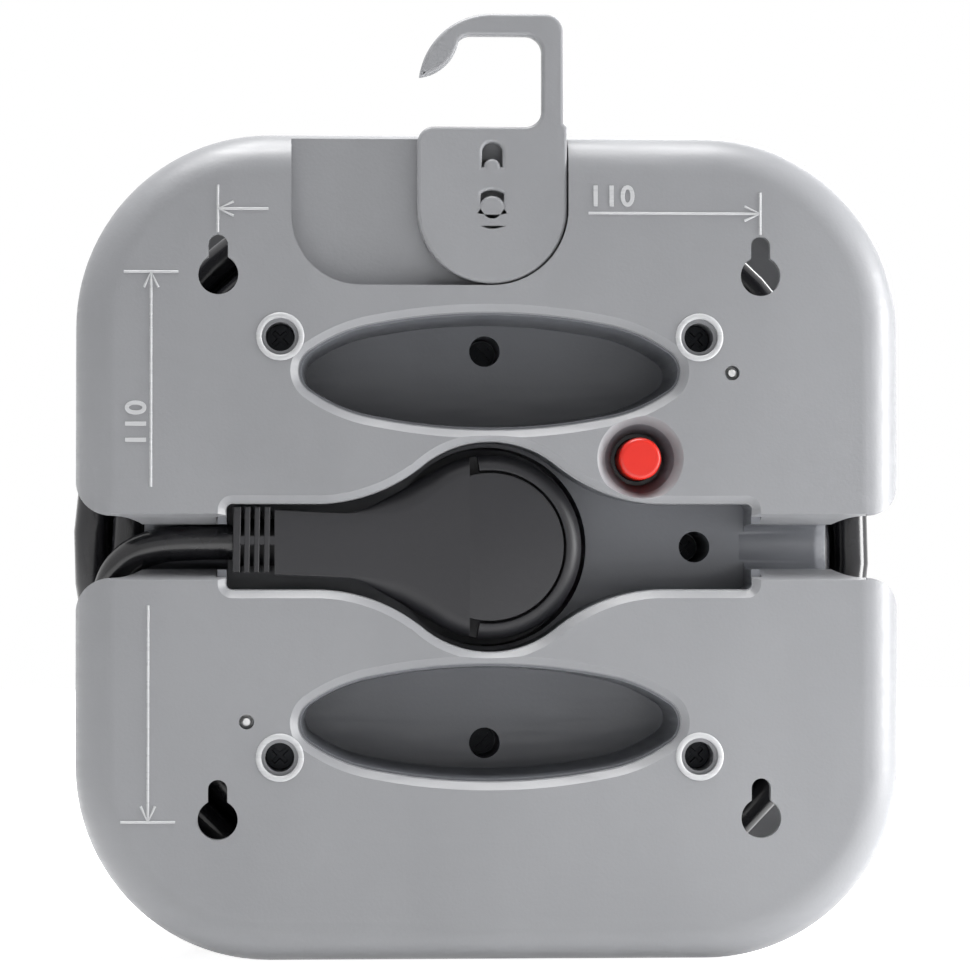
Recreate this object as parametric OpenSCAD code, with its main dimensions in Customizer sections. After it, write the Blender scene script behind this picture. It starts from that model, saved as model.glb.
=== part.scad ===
// Compact cable reel: two square flanges, a round drum with the cable wound on it, four
// earthed sockets in the front and a parking pocket for the plug in the rear.
// Local frame of every sub-part: x to the right and y up as seen from behind, and
// z = 0 on the rear face with depths counted towards the front. reel() turns that
// into the part's frame: +Z up, rear face towards -Y, standing on z = 0.

/* [Overall] */
// Width and height of the square flanges
flange_w = 168; // [166:1:182]
// Thickness of the reel, rear face to front face
reel_t = 84; // [82:1:100]
// Radius of the four flange corners
corner_r = 39.5; // [37:0.5:41]
// Radius that rounds the outer edge of a flange
edge_r = 8.5; // [6:0.5:9]
// Depth of each light flange shell
shell_d = 18; // [17:0.5:19]
// Wall thickness of the light shells
shell_t = 2.4; // [2.2:0.1:2.8]

/* [Drum] */
// Radius of the dark flange discs
disc_r = 70.5; // [69:0.5:71]
// Thickness of the dark flange discs
disc_t = 2.5; // [2:0.1:3]
// Outer radius of the drum that the cable is wound on
drum_r = 54.5; // [54:0.1:55.5]
// Wall thickness of the drum
drum_t = 2.2; // [1.8:0.1:2.4]

/* [Grip recesses] */
// Height of a grip recess above the reel's centre
grip_y = 35.6; // [35.4:0.1:36]
// Half the length of a grip recess
grip_l = 38.7; // [36:0.1:39]
// Half the height of a grip recess
grip_h = 11.9; // [10:0.1:12]
// Radius of a grip recess's long sides at their middle
grip_side_r = 120; // [100:5:140]
// Radius of the sides towards the tips
grip_turn_r = 32; // [28:1:36]
// Radius of the tips of a grip recess
grip_tip_r = 5; // [4:0.5:5.5]
// Depth of the grip recess floors
grip_d = 24; // [20:0.5:26]
// How much smaller all round a grip recess is at its floor
grip_draft = 1.1; // [0.6:0.1:1.6]

/* [Plug pocket] */
// Half the length of the pocket
pocket_l = 53.3; // [52.8:0.1:54]
// Half the height of the pocket's straight ends
pocket_h = 8.65; // [8.4:0.05:9]
// Depth of the pocket floor
pocket_d = 15.5; // [15:0.1:16]
// Radius of the corners at the pocket's ends
pocket_corner_r = 1.2; // [0.8:0.1:2]
// Radius of the round middle of the pocket
bulge_r = 21.3; // [20.9:0.1:21.6]
// Radius of the sweeps from the middle to the straight ends
sweep_r = 35; // [32:0.5:38]
// Radius of the cable channels at both ends of the pocket
trough_r = 4.6; // [4.6:0.05:4.9]
// Depth of the centre line of the cable channels
trough_d = 12; // [11.8:0.1:12.2]
// Half the opening of the cable channels at the rear face
channel_h = 6.7; // [6:0.1:7]
// Width of the bevel round the openings in the rear face
bevel = 1.4; // [0.8:0.1:1.6]

/* [Wall fixing] */
// Distance between the keyholes, across and up
keyhole_pitch = 110; // [108:1:112]
// Radius of the round part of a keyhole
keyhole_r = 4.05; // [3.8:0.05:4.5]
// Half the width of a keyhole's slot
keyhole_slot_r = 1.95; // [1.8:0.05:2.2]
// How far the slot's end lies above the round part
keyhole_rise = 6.1; // [5.5:0.1:7]

/* [Hook] */
// Height of the hook's pivot above the reel's centre
pivot_y = 68.5; // [68.3:0.1:69]
// Distance of the pivot to the right of the centre
pivot_x = 0.4; // [0:0.1:1]
// Half the width of the hook's plate
hook_r = 15.2; // [14.6:0.1:15.4]
// Height of the plate's top above the pivot
hook_plate = 16.7; // [16:0.1:18]
// Height of the hook's top bar above the pivot
hook_top = 39.7; // [38:0.1:42]
// Thickness of the hook's bar, measured in its plane
hook_bar = 4.4; // [4:0.1:5.4]
// Thickness of the hook
hook_t = 4; // [3.4:0.1:4.4]
// Radius of the hook's pivot stud
stud_r = 2.7; // [2.5:0.05:3]
// Radius of the detent nub's path round the pivot
nub_path = 8.5; // [8:0.1:8.8]

/* [Screws] */
// Distance of the shell screws from the centre, across and up
shell_screw_xy = 42.5; // [42.2:0.1:43]
// Height of the upper and lower core screws
core_screw_y = 40.8; // [40.4:0.1:41]
// Distance of the left and right core screws from the centre
core_screw_x = 43; // [42.6:0.1:43.4]
// Radius of the screw shanks
shank_r = 1.6; // [1.4:0.1:1.8]
// Radius of the screw heads
head_r = 2.8; // [2.6:0.1:2.85]
// Depth of the shell screws' heads below the face
shell_head_d = 8.8; // [8:0.1:9.2]

/* [Thermal cut-out] */
// Distance of the button to the right of the centre
cutout_x = 30.5; // [30.2:0.1:30.8]
// Height of the button above the centre
cutout_y = 17.9; // [17.7:0.1:18.1]
// Radius of the reset button
button_r = 4.3; // [4:0.05:4.4]
// Radius of the funnel at the rear face
funnel_r = 8.8; // [8.4:0.1:8.9]
// Travel of the button when the cut-out trips
button_travel = 2.5; // [1.5:0.1:3]

/* [Sockets] */
// Distance of the sockets from the centre, across and up
socket_xy = 20.4; // [20.4:0.05:20.5]
// Inner radius of a socket well
well_r = 19.6; // [19.3:0.05:19.6]
// Wall thickness of a socket well
well_t = 1.5; // [1.3:0.1:1.5]
// Depth of a socket well
well_d = 17.5; // [17:0.1:18]
// Half the distance between the pins of a plug
pin_half = 9.5; // [9.4:0.05:9.6]
// Radius of a plug pin
pin_r = 2.4; // [2.3:0.05:2.5]
// Length of a plug pin
pin_l = 19; // [18:0.5:19]
// Turn of a shutter from closed to open, in degrees
shutter_turn = 40; // [38:1:46]

/* [Plug] */
// Radius of the plug's round body
plug_r = 18.9; // [18.3:0.1:19]
// Height of the plug's round body
plug_h = 27; // [25:0.5:28]
// Depth of the plug's back below the rear face
plug_back = 1.7; // [1:0.1:2.5]
// Half the width of the plug's neck
neck_h = 6.7; // [6.2:0.1:7]
// Distance from the centre to the plug's cable end
plug_l = 52.2; // [51.8:0.1:52.4]

/* [Cable] */
// Diameter of the cable
cable_dia = 7.2; // [6.8:0.1:7.4]
// Radius of the outer layer's centre line
wind_r = 79.6; // [79.2:0.1:80.2]
// How far the outer layer lies to one side of the drum's axis
wind_x = -2.4; // [-2.8:0.1:0]
// Spacing of the outer layer's turns
wind_pitch = 7.7; // [7.6:0.05:7.8]

/* [Hidden] */
$fn = 72;

// Clearances
fit = 0.3;          // round a piece that is put in place
run = 0.06;         // radial, in a bearing
slip = 0.05;        // radial, round a screw's shank
over = 1;           // how far a cut runs past a face
blend = 0.02;       // how far a round reaches into the curve that it joins

half_w = flange_w / 2;
corner_c = half_w - corner_r;
disc_top = shell_d - disc_t + 0.5;          // depth of the rear disc's upper face
disc_bottom = disc_top + disc_t;            // where the cable groove starts
groove_end = reel_t - disc_bottom;          // where the cable groove ends
drum_in = drum_r - drum_t;
core_wall = 1.8;                            // thickness of the dark walls
pilot_r = shank_r + slip;

// Grip recess outline: in each quarter a long arc, a tighter one and a tip arc, each
// running smoothly into the next. The leans are how far a join lies to the side.
function meet(a, ra, b, rb) =
    let (d = norm(b - a), u = (b - a) / d, p = (d ^ 2 + ra ^ 2 - rb ^ 2) / (2 * d))
    a + p * u + sqrt(ra ^ 2 - p ^ 2) * [-u[1], u[0]];
side_c = [0, grip_h - grip_side_r];
tip_c = [grip_l - grip_tip_r, 0];
turn_c = meet(side_c, grip_side_r - grip_turn_r, tip_c, grip_turn_r - grip_tip_r);
side_lean = turn_c[0] / (grip_side_r - grip_turn_r);
tip_lean = (tip_c[0] - turn_c[0]) / (grip_turn_r - grip_tip_r);
grip_lip = 0.3;                             // how far the core shows inside a grip's opening

// Pocket outline: centre of the sweeps, and where they leave the round middle
sweep_x = sqrt((bulge_r + sweep_r) ^ 2 - (pocket_h + sweep_r) ^ 2);
sweep_y = pocket_h + sweep_r;
sweep_join = sweep_y * bulge_r / (bulge_r + sweep_r);

lip_d = 8.4;                                // depth of the light lips along the channels
mouth_h = 6.3;                              // half-height of the channels' mouths
mouth_r = 7.5;                              // corner radius of the mouths
mouth_x = half_w - mouth_r;                 // where the lips have opened to a mouth's height
flare_r = ((mouth_x - disc_r) ^ 2 + (mouth_h - trough_r) ^ 2) / (2 * (mouth_h - trough_r));
well_bottom = plug_back + plug_h;           // depth of the floor under the plug
well_clear = 1.6;                           // room round the plug's body
park_r = pin_r + 0.2;                       // radius of the pin parking bores
park_end = well_bottom + pin_l + 0.6;

// Screw bosses
shell_seat_d = shell_head_d + 2;            // under the heads of the shell screws
shell_boss_end = shell_seat_d + 2;
core_seat_d = 40;                           // under the heads of the core screws
core_post_d = core_seat_d + 2;
core_screw_l = 20;
core_bore_r = 3.2;
boss_r = 4.6;
shell_boss_r = boss_r - 0.5;                // beside the walls of the grip recesses
front_seat_d = groove_end + 2.2;            // under the heads of the front screws
front_boss_d = front_seat_d + 3.3;

// Locating pins
locate_x = 49.2;
locate_y = 35.3;
locate_r = 1.4;
locate_tip_r = 0.75;                        // of the end that shows in the rear face
locate_end = 14;

// Front assembly
front_plate_d = reel_t - shell_t;           // inner face of the front plate
ring_out = drum_in + 0.2;                   // ring of the front core
ring_in = 50.3;
front_open_r = 50;
flange_ring_t = 2.2;
socket_flange_d = front_plate_d - flange_ring_t;
well_floor_d = reel_t - well_d;
well_floor_t = 2;
cup_r = well_r + well_t;
cup_end = well_floor_d - well_floor_t;
carrier_top = cup_end - 2;
frame_d = carrier_top + 0.05;                // depth of the earth frame
carrier_bottom = well_floor_d - pin_l - 1;
strip_t = 1;
socket_r = socket_xy * sqrt(2);
live_r = socket_r - pin_half;
neutral_r = socket_r + pin_half;
sleeve_r = pin_r + 0.8;
shutter_r = 13.6;
shutter_t = 1.6;
pivot_pin_r = 2;
carrier_r = cup_r - 0.2;
carrier_hole = 15;
centre_plate_d = max(carrier_bottom + 3.7, park_end + 1.5);
carrier_screw_l = 14;
earth_lug_x = 33;                           // where the earth wire meets the earth frame

// Hook recess
recess_d = hook_t + 0.5;
recess_l = hook_top + 1;
recess_corner = 14;
recess_r = hook_r + fit;
hook_face = 0.2;                            // depth of the hook's outer face

// Thermal cut-out
neck_r = button_r + 1.65;
neck_d = 10;                                // depth of the neck's upper end
funnel_d = 9;                               // depth of the funnel that shows the button
funnel_end_r = button_r + 1;
funnel_wall_r = ((funnel_r - funnel_end_r) ^ 2 + funnel_d ^ 2) / (2 * (funnel_r - funnel_end_r));
cutout_body_d = grip_d + 3;
cutout_body = [22, 14, carrier_bottom - strip_t - 0.5 - cutout_body_d];
cutout_shift = [3, 0.1];
button_top = 0.3;
button_l = 15;

// Cable end inside the drum: it comes in along a chord, so that it needn't bend sharply,
// and a clamp holds it on the rear disc. Places on the chord are counted from its middle.
tail_angle = 205;                           // where the chord's middle lies
tail_offset = 48;                           // and how far from the drum's axis
tail_d = 23.4;
tail_start = -7;
tail_stop = 16.8;
cable_r = cable_dia / 2;
hole_r = cable_r + 0.3;
clamp_w = 8;
clamp_in = tail_offset - 9;
clamp_out = tail_offset + 3.4;
clamp_d = tail_d - 1;                       // where the clamp sits on its seat
clamp_top = tail_d + cable_r + 1.6;
clamp_screw_r = 1.2;
clamp_screw_l = 9.5;

// Cable end of the plug
ribs_x = 44.2;                              // where the neck ends and the ribs begin
rib_steps = [0, 2.7, 4.6, 6.7];             // where the ribs stand, from the cable end
lead_y = 0.9;                               // height of the cable where it leaves the plug
lead_d = 10.5;                              // its depth there

// Winding: angles grow anticlockwise as seen from behind
wind_start = 215;
wind_turns = 5;
wind_d = disc_bottom + cable_r + 0.5;
ring_step = 15;
wind_sides = 6;
lead_sides = 10;
// Centre line of the free lead, as [x, y, depth]
lead_route = [
    [-plug_l, lead_y, lead_d], [-56, lead_y, lead_d], [-60, 0.8, 10.8], [-64, 0.6, 11.4],
    [-67.5, 0.1, 12], [-70.7, -0.9, 12.8], [-73.6, -2.7, 14], [-76, -5.4, 15.4],
    [-77.4, -8.8, 17.1], [-77.9, -12.8, 19], [-78.4, -17.2, 20.6], [-78.7, -21.8, 21.7],
    [-78.3, -26.4, 22.3], [-77.3, -30.7, 22.5]
];

shell_colour = "#a8a9ac";
core_colour = "#505256";
plug_colour = "#3c3c40";
cable_colour = "#26262a";
steel_colour = "#8d8f93";
brass_colour = "#c9a75a";

// Placing

module reel() {
    translate([0, -reel_t / 2, half_w])
        rotate([90, 0, 0])
            children();
}

module slab(from, to) {
    translate([0, 0, -to])
        linear_extrude(to - from)
            children();
}

module disc(x, y, r, from, to) {
    translate([x, y, -to])
        cylinder(h = to - from, r = r);
}

// A round form whose radius runs from r_from at depth from to r_to at depth to
module cone(x, y, r_from, r_to, from, to) {
    translate([x, y, -to])
        cylinder(h = to - from, r1 = r_to, r2 = r_from);
}

module box(x0, x1, y0, y1, from, to) {
    translate([x0, y0, -to])
        cube([x1 - x0, y1 - y0, to - from]);
}

module four(d) {
    for (sx = [-1, 1], sy = [-1, 1])
        translate([sx * d, sy * d, 0])
            children();
}

module core_screw_places() {
    for (s = [-1, 1]) {
        translate([0, s * core_screw_y, 0])
            children();
        translate([s * core_screw_x, 0, 0])
            children();
    }
}

// Sub-part k of four in the quadrants, with x pointing away from the reel's centre
module at_socket(k) {
    rotate([0, 0, 45 + 90 * k])
        translate([socket_r, 0, 0])
            children();
}

// Outlines

module edge_profile(r, e, top, bottom) {
    translate([-r, -bottom])
        square([2 * r, bottom - top - e]);
    translate([e - r, -bottom])
        square([2 * (r - e), bottom - top]);
    for (s = [-1, 1])
        translate([s * (r - e), -top - e])
            circle(e);
}

// Rounded square with a rounded upper edge, moved inwards by inset
module flange_form(inset, bottom) {
    r = corner_r - inset;
    e = edge_r - inset;
    for (turn = [0, 90])
        rotate([0, 0, turn])
            translate([-corner_c, 0, 0])
                rotate([90, 0, 90])
                    linear_extrude(2 * corner_c)
                        edge_profile(corner_c + r, e, inset, bottom);
    four(corner_c)
        rotate_extrude()
            intersection() {
                edge_profile(r, e, inset, bottom);
                translate([0, -bottom])
                    square([r, bottom]);
            }
}

// Grip recess between two depths, its outline grown by g_from and g_to
module grip(from, to, g_from, g_to) {
    lens([0, side_c[1]], grip_side_r)
        taper(2 * grip_h, side_lean * (grip_side_r + g_from), side_lean * (grip_side_r + g_to),
              from, to);
    for (s = [-1, 1]) {
        lens([s * turn_c[0], turn_c[1]], grip_turn_r + blend)
            taper(2 * grip_h, tip_c[0] + tip_lean * (grip_tip_r + g_from),
                  tip_c[0] + tip_lean * (grip_tip_r + g_to), from, to);
        cone(s * tip_c[0], 0, grip_tip_r + 2 * blend + g_from, grip_tip_r + 2 * blend + g_to,
             from, to);
    }

    // What two rounds have in common, up to the sides of a slanted block
    module lens(c, r) {
        intersection() {
            cone(c[0], c[1], r + g_from, r + g_to, from, to);
            cone(c[0], -c[1], r + g_from, r + g_to, from, to);
            rotate([0, 0, 90])
                children();
        }
    }
}

module grips(from, to, g_from, g_to) {
    for (s = [-1, 1])
        translate([0, s * grip_y, 0])
            grip(from, to, g_from, g_to);
}

// Slanted-sided block, h_from and h_to being half its size across
module taper(l, h_from, h_to, from, to) {
    translate([-l, 0, 0])
        rotate([90, 0, 90])
            linear_extrude(2 * l)
                polygon([[-h_from, -from], [h_from, -from], [h_to, -to], [-h_to, -to]]);
}

// Plug pocket between two depths, its outline grown by g_from and g_to
module pocket(from, to, g_from, g_to) {
    corner_x = pocket_l - pocket_corner_r;
    corner_y = pocket_h - pocket_corner_r;
    corner = pocket_corner_r + blend;
    cone(0, 0, bulge_r + g_from, bulge_r + g_to, from, to);
    difference() {
        box(-sweep_x, sweep_x, -sweep_join, sweep_join, from, to);
        for (sx = [-1, 1], sy = [-1, 1])
            translate([sx * sweep_x, sy * sweep_y, 0])
                cone(0, 0, sweep_r + blend - g_from, sweep_r + blend - g_to, from, to);
    }
    taper(corner_x, pocket_h + g_from, pocket_h + g_to, from, to);
    rotate([0, 0, 90])
        taper(corner_y, pocket_l + g_from, pocket_l + g_to, from, to);
    for (sx = [-1, 1], sy = [-1, 1])
        cone(sx * corner_x, sy * corner_y, corner + g_from, corner + g_to, from, to);
}

// Outline of the mouth at the right: it widens along two arcs, and its corners are rounded
module mouth() {
    intersection() {
        translate([mouth_x, flare_r - mouth_h])
            circle(flare_r);
        translate([mouth_x, mouth_h - flare_r])
            circle(flare_r);
        translate([disc_r - 0.2, -mouth_h])
            square([mouth_x - disc_r + 0.2, 2 * mouth_h]);
    }
    translate([mouth_x - 0.5, -mouth_h])
        square([mouth_r + over, 2 * mouth_h]);
    difference() {
        translate([mouth_x, -mouth_h - mouth_r])
            square([mouth_r + over, 2 * (mouth_h + mouth_r)]);
        for (s = [-1, 1])
            translate([mouth_x, s * (mouth_h + mouth_r)])
                circle(mouth_r);
    }
}

// Funnel round the button: its wall is an arc that ends upright at depth funnel_d
module funnel() {
    translate([cutout_x, cutout_y, 0])
        rotate_extrude()
            difference() {
                translate([0, -funnel_d])
                    square([funnel_r + 2, funnel_d + over]);
                translate([funnel_end_r + funnel_wall_r, -funnel_d])
                    circle(funnel_wall_r);
            }
}

module keyhole() {
    circle(keyhole_r);
    translate([0, keyhole_rise])
        circle(keyhole_slot_r);
    translate([-keyhole_slot_r, 0])
        square([2 * keyhole_slot_r, keyhole_rise]);
}

// Outline of the recess that the hook folds into
module recess_outline(g) {
    translate([pivot_x, pivot_y]) {
        translate([-recess_l - g, recess_corner - recess_r])
            square([recess_l + recess_r + 2 * g, half_w]);
        translate([recess_corner - recess_l, -recess_r - g])
            square([recess_l - recess_corner, recess_corner + g]);
        translate([recess_corner - recess_l, recess_corner - recess_r])
            circle(recess_corner + g);
        circle(recess_r + g);
    }
}

// Rear shells

// Everything that is cut from the two rear shells
module rear_openings() {
    grips(-over, bevel, 2 * bevel, 0.2);
    grips(-over, shell_t + over, 0, 0);
    pocket(-over, bevel, 2 * bevel, 0.2);
    pocket(-over, shell_t + over, 0, 0);
    for (s = [-1, 1]) {
        translate([s * (pocket_l + mouth_x) / 2, 0, 0]) {
            taper((mouth_x - pocket_l) / 2 + 0.2, channel_h, trough_r, 0, lip_d + 0.01);
            taper((mouth_x - pocket_l) / 2 + 0.2, channel_h, channel_h, -over, 0);
        }
        rotate([0, 0, s < 0 ? 180 : 0])
            slab(-over, shell_d + over)
                mouth();
    }
    four(keyhole_pitch / 2)
        slab(-over, shell_t + over)
            keyhole();
    four(shell_screw_xy) {
        disc(0, 0, head_r + 0.9, -over, 1.2);
        disc(0, 0, head_r + 0.15, 0, shell_seat_d);
        disc(0, 0, pilot_r + 0.1, shell_seat_d - over, shell_boss_end + over);
    }
    funnel();
    for (s = [-1, 1])
        disc(s * locate_x, s * locate_y, locate_r + 0.1, -over, shell_t + over);
}

// Floor, pivot bore and detent track of the hook's recess
module hook_recess() {
    slab(-over, recess_d)
        recess_outline(0);
    disc(pivot_x, pivot_y, stud_r + run, 0, recess_d + shell_t + over);
    translate([pivot_x, pivot_y, -recess_d - 1.3])
        rotate([0, 0, 90])
            rotate_extrude(angle = 90)
                translate([nub_path - 1.8, 0])
                    square([3.6, 1.3 + over]);
    disc(pivot_x, pivot_y + nub_path, 1.8, recess_d - over, recess_d + 1.3);
    disc(pivot_x - nub_path, pivot_y, 1.8, recess_d - over, recess_d + 1.3);
}

module rear_shell_body() {
    lip_x = pocket_l + core_wall + fit;
    difference() {
        union() {
            difference() {
                flange_form(0, shell_d);
                flange_form(shell_t, shell_d + over);
            }
            intersection() {
                flange_form(0, shell_d);
                union() {
                    slab(0, recess_d + shell_t)
                        recess_outline(shell_t);
                    for (s = [-1, 1])
                        translate([s * (lip_x + half_w) / 2, 0, 0])
                            taper((half_w - lip_x) / 2, channel_h + 2, channel_h + 2,
                                  shell_t / 2, lip_d);
                }
            }
            four(shell_screw_xy)
                disc(0, 0, shell_boss_r, 0, shell_boss_end);
        }
        rear_openings();
        hook_recess();
    }
}

module rear_shell_upper() {
    color(shell_colour) reel() intersection() {
        rear_shell_body();
        box(-flange_w, flange_w, 0, flange_w, -over, shell_d + over);
    }
}

module rear_shell_lower() {
    color(shell_colour) reel() intersection() {
        rear_shell_body();
        box(-flange_w, flange_w, -flange_w, 0, -over, shell_d + over);
    }
}

// Dark core: rear disc, drum, grip dishes, plug pocket, cable channels and bosses

module rear_core_solid() {
    disc(0, 0, disc_r, disc_top, disc_bottom);
    difference() {
        disc(0, 0, drum_r, disc_top, groove_end);
        disc(0, 0, drum_in, disc_bottom, groove_end + over);
    }
    intersection() {
        grips(shell_t, grip_d + core_wall, core_wall, core_wall - grip_draft);
        union() {
            disc(0, 0, disc_r, 0, disc_bottom - 0.1);
            disc(0, 0, drum_r, 0, reel_t);
        }
    }
    pocket(shell_t, disc_top + 0.1, core_wall, core_wall);
    disc(0, 0, plug_r + well_clear + core_wall, disc_top, well_bottom + 2);
    for (s = [-1, 1]) {
        translate([s * (pocket_l + disc_r) / 2, 0, 0])
            taper((disc_r - pocket_l) / 2 - 0.2, trough_r + core_wall, trough_r + core_wall,
                  lip_d, disc_bottom);
        disc(0, s * pin_half, park_r + 1.6, well_bottom, park_end);
        disc(s * locate_x, s * locate_y, locate_r + 1.6, 6, disc_bottom);
    }
    disc(cutout_x, cutout_y, funnel_r + 0.5, shell_t, disc_bottom);
    four(shell_screw_xy)
        disc(0, 0, boss_r, shell_boss_end, disc_bottom);
    core_screw_places()
        disc(0, 0, core_bore_r + core_wall, disc_top, core_post_d);
    rotate([0, 0, tail_angle])
        box(clamp_in, clamp_out, -clamp_w / 2 - 1, clamp_w / 2 + 1, disc_bottom - 0.1, clamp_d);
}

module rear_core_cuts() {
    grips(-over, grip_d, -grip_lip, -grip_lip - grip_draft);
    pocket(-over, pocket_d, 0, 0);
    disc(0, 0, plug_r + well_clear, pocket_d - over, well_bottom);
    for (s = [-1, 1]) {
        translate([s * (pocket_l - over), 0, -trough_d])
            rotate([0, 90 * s, 0])
                cylinder(h = disc_r - pocket_l + 2 * over, r = trough_r);
        translate([s * (disc_r - 3), 0, -trough_d])
            rotate([0, 90 * s, 0])
                cylinder(h = 4, r1 = trough_r - 0.1, r2 = trough_r + 1.3);
        translate([s * (pocket_l + disc_r) / 2, 0, 0])
            taper((disc_r - pocket_l) / 2 + over, trough_r, trough_r, -over, trough_d);
        disc(0, s * pin_half, park_r, well_bottom - over, park_end + over);
        disc(s * locate_x, s * locate_y, locate_r + slip, 0, locate_end);
    }
    funnel();
    disc(cutout_x, cutout_y, neck_r + slip, funnel_d, disc_bottom + over);
    four(shell_screw_xy)
        disc(0, 0, pilot_r, shell_boss_end - over, disc_bottom - 0.6);
    core_screw_places() {
        disc(0, 0, core_bore_r, pocket_d - over, core_seat_d);
        disc(0, 0, pilot_r + 0.1, core_seat_d - over, core_post_d + over);
    }
    along_tail(-clamp_w / 2 - 1 - over, drum_r - 20, hole_r);
    clamp_screw_places()
        disc(0, 0, clamp_screw_r + slip, clamp_top - clamp_screw_l - 0.5, tail_d);
}

module rear_core() {
    color(core_colour) reel() difference() {
        rear_core_solid();
        rear_core_cuts();
    }
}

// Front core: front disc, locating ring and bosses

module front_core() {
    color(core_colour) reel() difference() {
        union() {
            disc(0, 0, disc_r, groove_end, groove_end + disc_t);
            disc(0, 0, ring_out, groove_end, socket_flange_d);
            disc(0, 0, drum_in - 0.2, groove_end - 3.5, groove_end + 0.1);
            four(shell_screw_xy)
                disc(0, 0, boss_r + 0.4, groove_end, front_boss_d);
        }
        disc(0, 0, ring_in, groove_end - 3.5 - over, socket_flange_d + over);
        four(shell_screw_xy) {
            disc(0, 0, head_r + 0.2, groove_end - over, front_seat_d);
            disc(0, 0, pilot_r + 0.1, front_seat_d - over, front_boss_d + over);
        }
    }
}

module front_shell() {
    color(shell_colour) reel() difference() {
        union() {
            translate([0, 0, -reel_t])
                rotate([180, 0, 0])
                    difference() {
                        flange_form(0, shell_d);
                        flange_form(shell_t, shell_d + over);
                    }
            four(shell_screw_xy)
                disc(0, 0, boss_r, front_boss_d, reel_t - shell_t / 2);
        }
        disc(0, 0, front_open_r, front_plate_d - over, reel_t + over);
        four(shell_screw_xy)
            disc(0, 0, pilot_r, front_boss_d - over, front_plate_d - 1);
    }
}

// Socket plate with four wells, and the posts that the core screws pull on

module socket_plate() {
    color(core_colour) reel() difference() {
        union() {
            disc(0, 0, front_open_r - fit, socket_flange_d, reel_t);
            disc(0, 0, ring_out - 0.2, socket_flange_d, front_plate_d);
            for (k = [0:3])
                at_socket(k)
                    disc(0, 0, cup_r, cup_end, reel_t - over);
            core_screw_places()
                disc(0, 0, boss_r - 0.2, core_post_d, reel_t - over);
            disc(0, 0, boss_r, centre_plate_d + 2, reel_t - over);
        }
        for (k = [0:3])
            at_socket(k) {
                disc(0, 0, well_r, well_floor_d, reel_t);
                cone(0, 0, well_r, well_r + bevel / 2, reel_t - bevel / 2, reel_t + 0.01);
                for (s = [-1, 1]) {
                    disc(s * pin_half, 0, pin_r + 0.5, cup_end - over, well_floor_d + over);
                    box(-2.7, 2.7, s * 17.9 - 1.2, s * 17.9 + 1.2, cup_end - over, well_floor_d + over);
                }
            }
        core_screw_places()
            disc(0, 0, pilot_r, core_post_d - over, core_seat_d + core_screw_l + 2);
        disc(0, 0, pilot_r, centre_plate_d + 2 - over, centre_plate_d + carrier_screw_l + 2);
    }
}

// Contact carrier behind the wells, and the strips that it holds

module contact_carrier() {
    color("#d9d6cc") reel() difference() {
        union() {
            for (k = [0:3])
                at_socket(k) {
                    disc(0, 0, carrier_r, carrier_top, carrier_bottom + 16);
                    disc(0, 0, carrier_r, carrier_bottom, carrier_top);
                    disc(0, 0, pivot_pin_r, carrier_top - 0.1, cup_end - 0.1);
                }
            disc(0, 0, carrier_hole + 2, centre_plate_d, centre_plate_d + 2);
        }
        disc(0, 0, carrier_hole, carrier_bottom - over, centre_plate_d);
        disc(0, 0, carrier_hole, centre_plate_d + 2, carrier_top + over);
        disc(0, 0, pilot_r + 0.1, centre_plate_d - over, centre_plate_d + 2 + over);
        for (k = [0:3])
            at_socket(k)
                for (s = [-1, 1])
                    disc(s * pin_half, 0, sleeve_r + 0.15, carrier_bottom - over, carrier_top + over);
    }
}

// Split spring sleeve that grips a pin
module contact_sleeve() {
    difference() {
        disc(0, 0, sleeve_r, carrier_bottom - strip_t - 0.4, carrier_top - 2);
        disc(0, 0, pin_r + 0.1, carrier_bottom - strip_t - over, carrier_top);
        box(-0.4, 0.4, -sleeve_r - over, sleeve_r + over, carrier_bottom + 4, carrier_top);
    }
}

module live_strip() {
    color(brass_colour) reel() {
        difference() {
            disc(0, 0, live_r + 2.2, carrier_bottom - strip_t, carrier_bottom);
            disc(0, 0, live_r - 2.2, carrier_bottom - strip_t - over, carrier_bottom + over);
            for (k = [0:3])
                at_socket(k)
                    disc(-pin_half, 0, sleeve_r - 0.3, carrier_bottom - 3, carrier_bottom + over);
        }
        for (k = [0:3])
            at_socket(k)
                translate([-pin_half, 0, 0])
                    contact_sleeve();
    }
}

module neutral_strip() {
    half = neutral_r / sqrt(2);
    color(brass_colour) reel() {
        difference() {
            slab(carrier_bottom - strip_t, carrier_bottom)
                difference() {
                    square(2 * half + 3.6, center = true);
                    square(2 * half - 3.6, center = true);
                }
            for (k = [0:3])
                at_socket(k)
                    disc(pin_half, 0, sleeve_r - 0.3, carrier_bottom - 3, carrier_bottom + over);
        }
        for (k = [0:3])
            at_socket(k)
                translate([pin_half, 0, 0])
                    contact_sleeve();
    }
}

// Earth frame: four rings under the wells with two spring tabs each
module earth_frame() {
    color(steel_colour) reel() {
        difference() {
            union() {
                for (k = [0:3])
                    at_socket(k)
                        disc(0, 0, 19.2, frame_d, frame_d + strip_t);
                for (turn = [0, 90])
                    rotate([0, 0, turn])
                        for (s = [-1, 1])
                            box(-3, 3, s * socket_xy - 2, s * socket_xy + 2,
                                frame_d, frame_d + strip_t);
                box(-earth_lug_x - 1.5, -socket_xy, -1.5, 1.5, frame_d, frame_d + strip_t);
            }
            for (k = [0:3])
                at_socket(k)
                    disc(0, 0, shutter_r + 1, cup_end - 4, cup_end + over);
        }
        for (k = [0:3], s = [-1, 1])
            at_socket(k)
                rotate([0, 0, 90 * s])
                    translate([17.9, 2.2, 0])
                        rotate([90, 0, 0])
                            linear_extrude(4.4)
                                earth_tab();
    }
}

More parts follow.
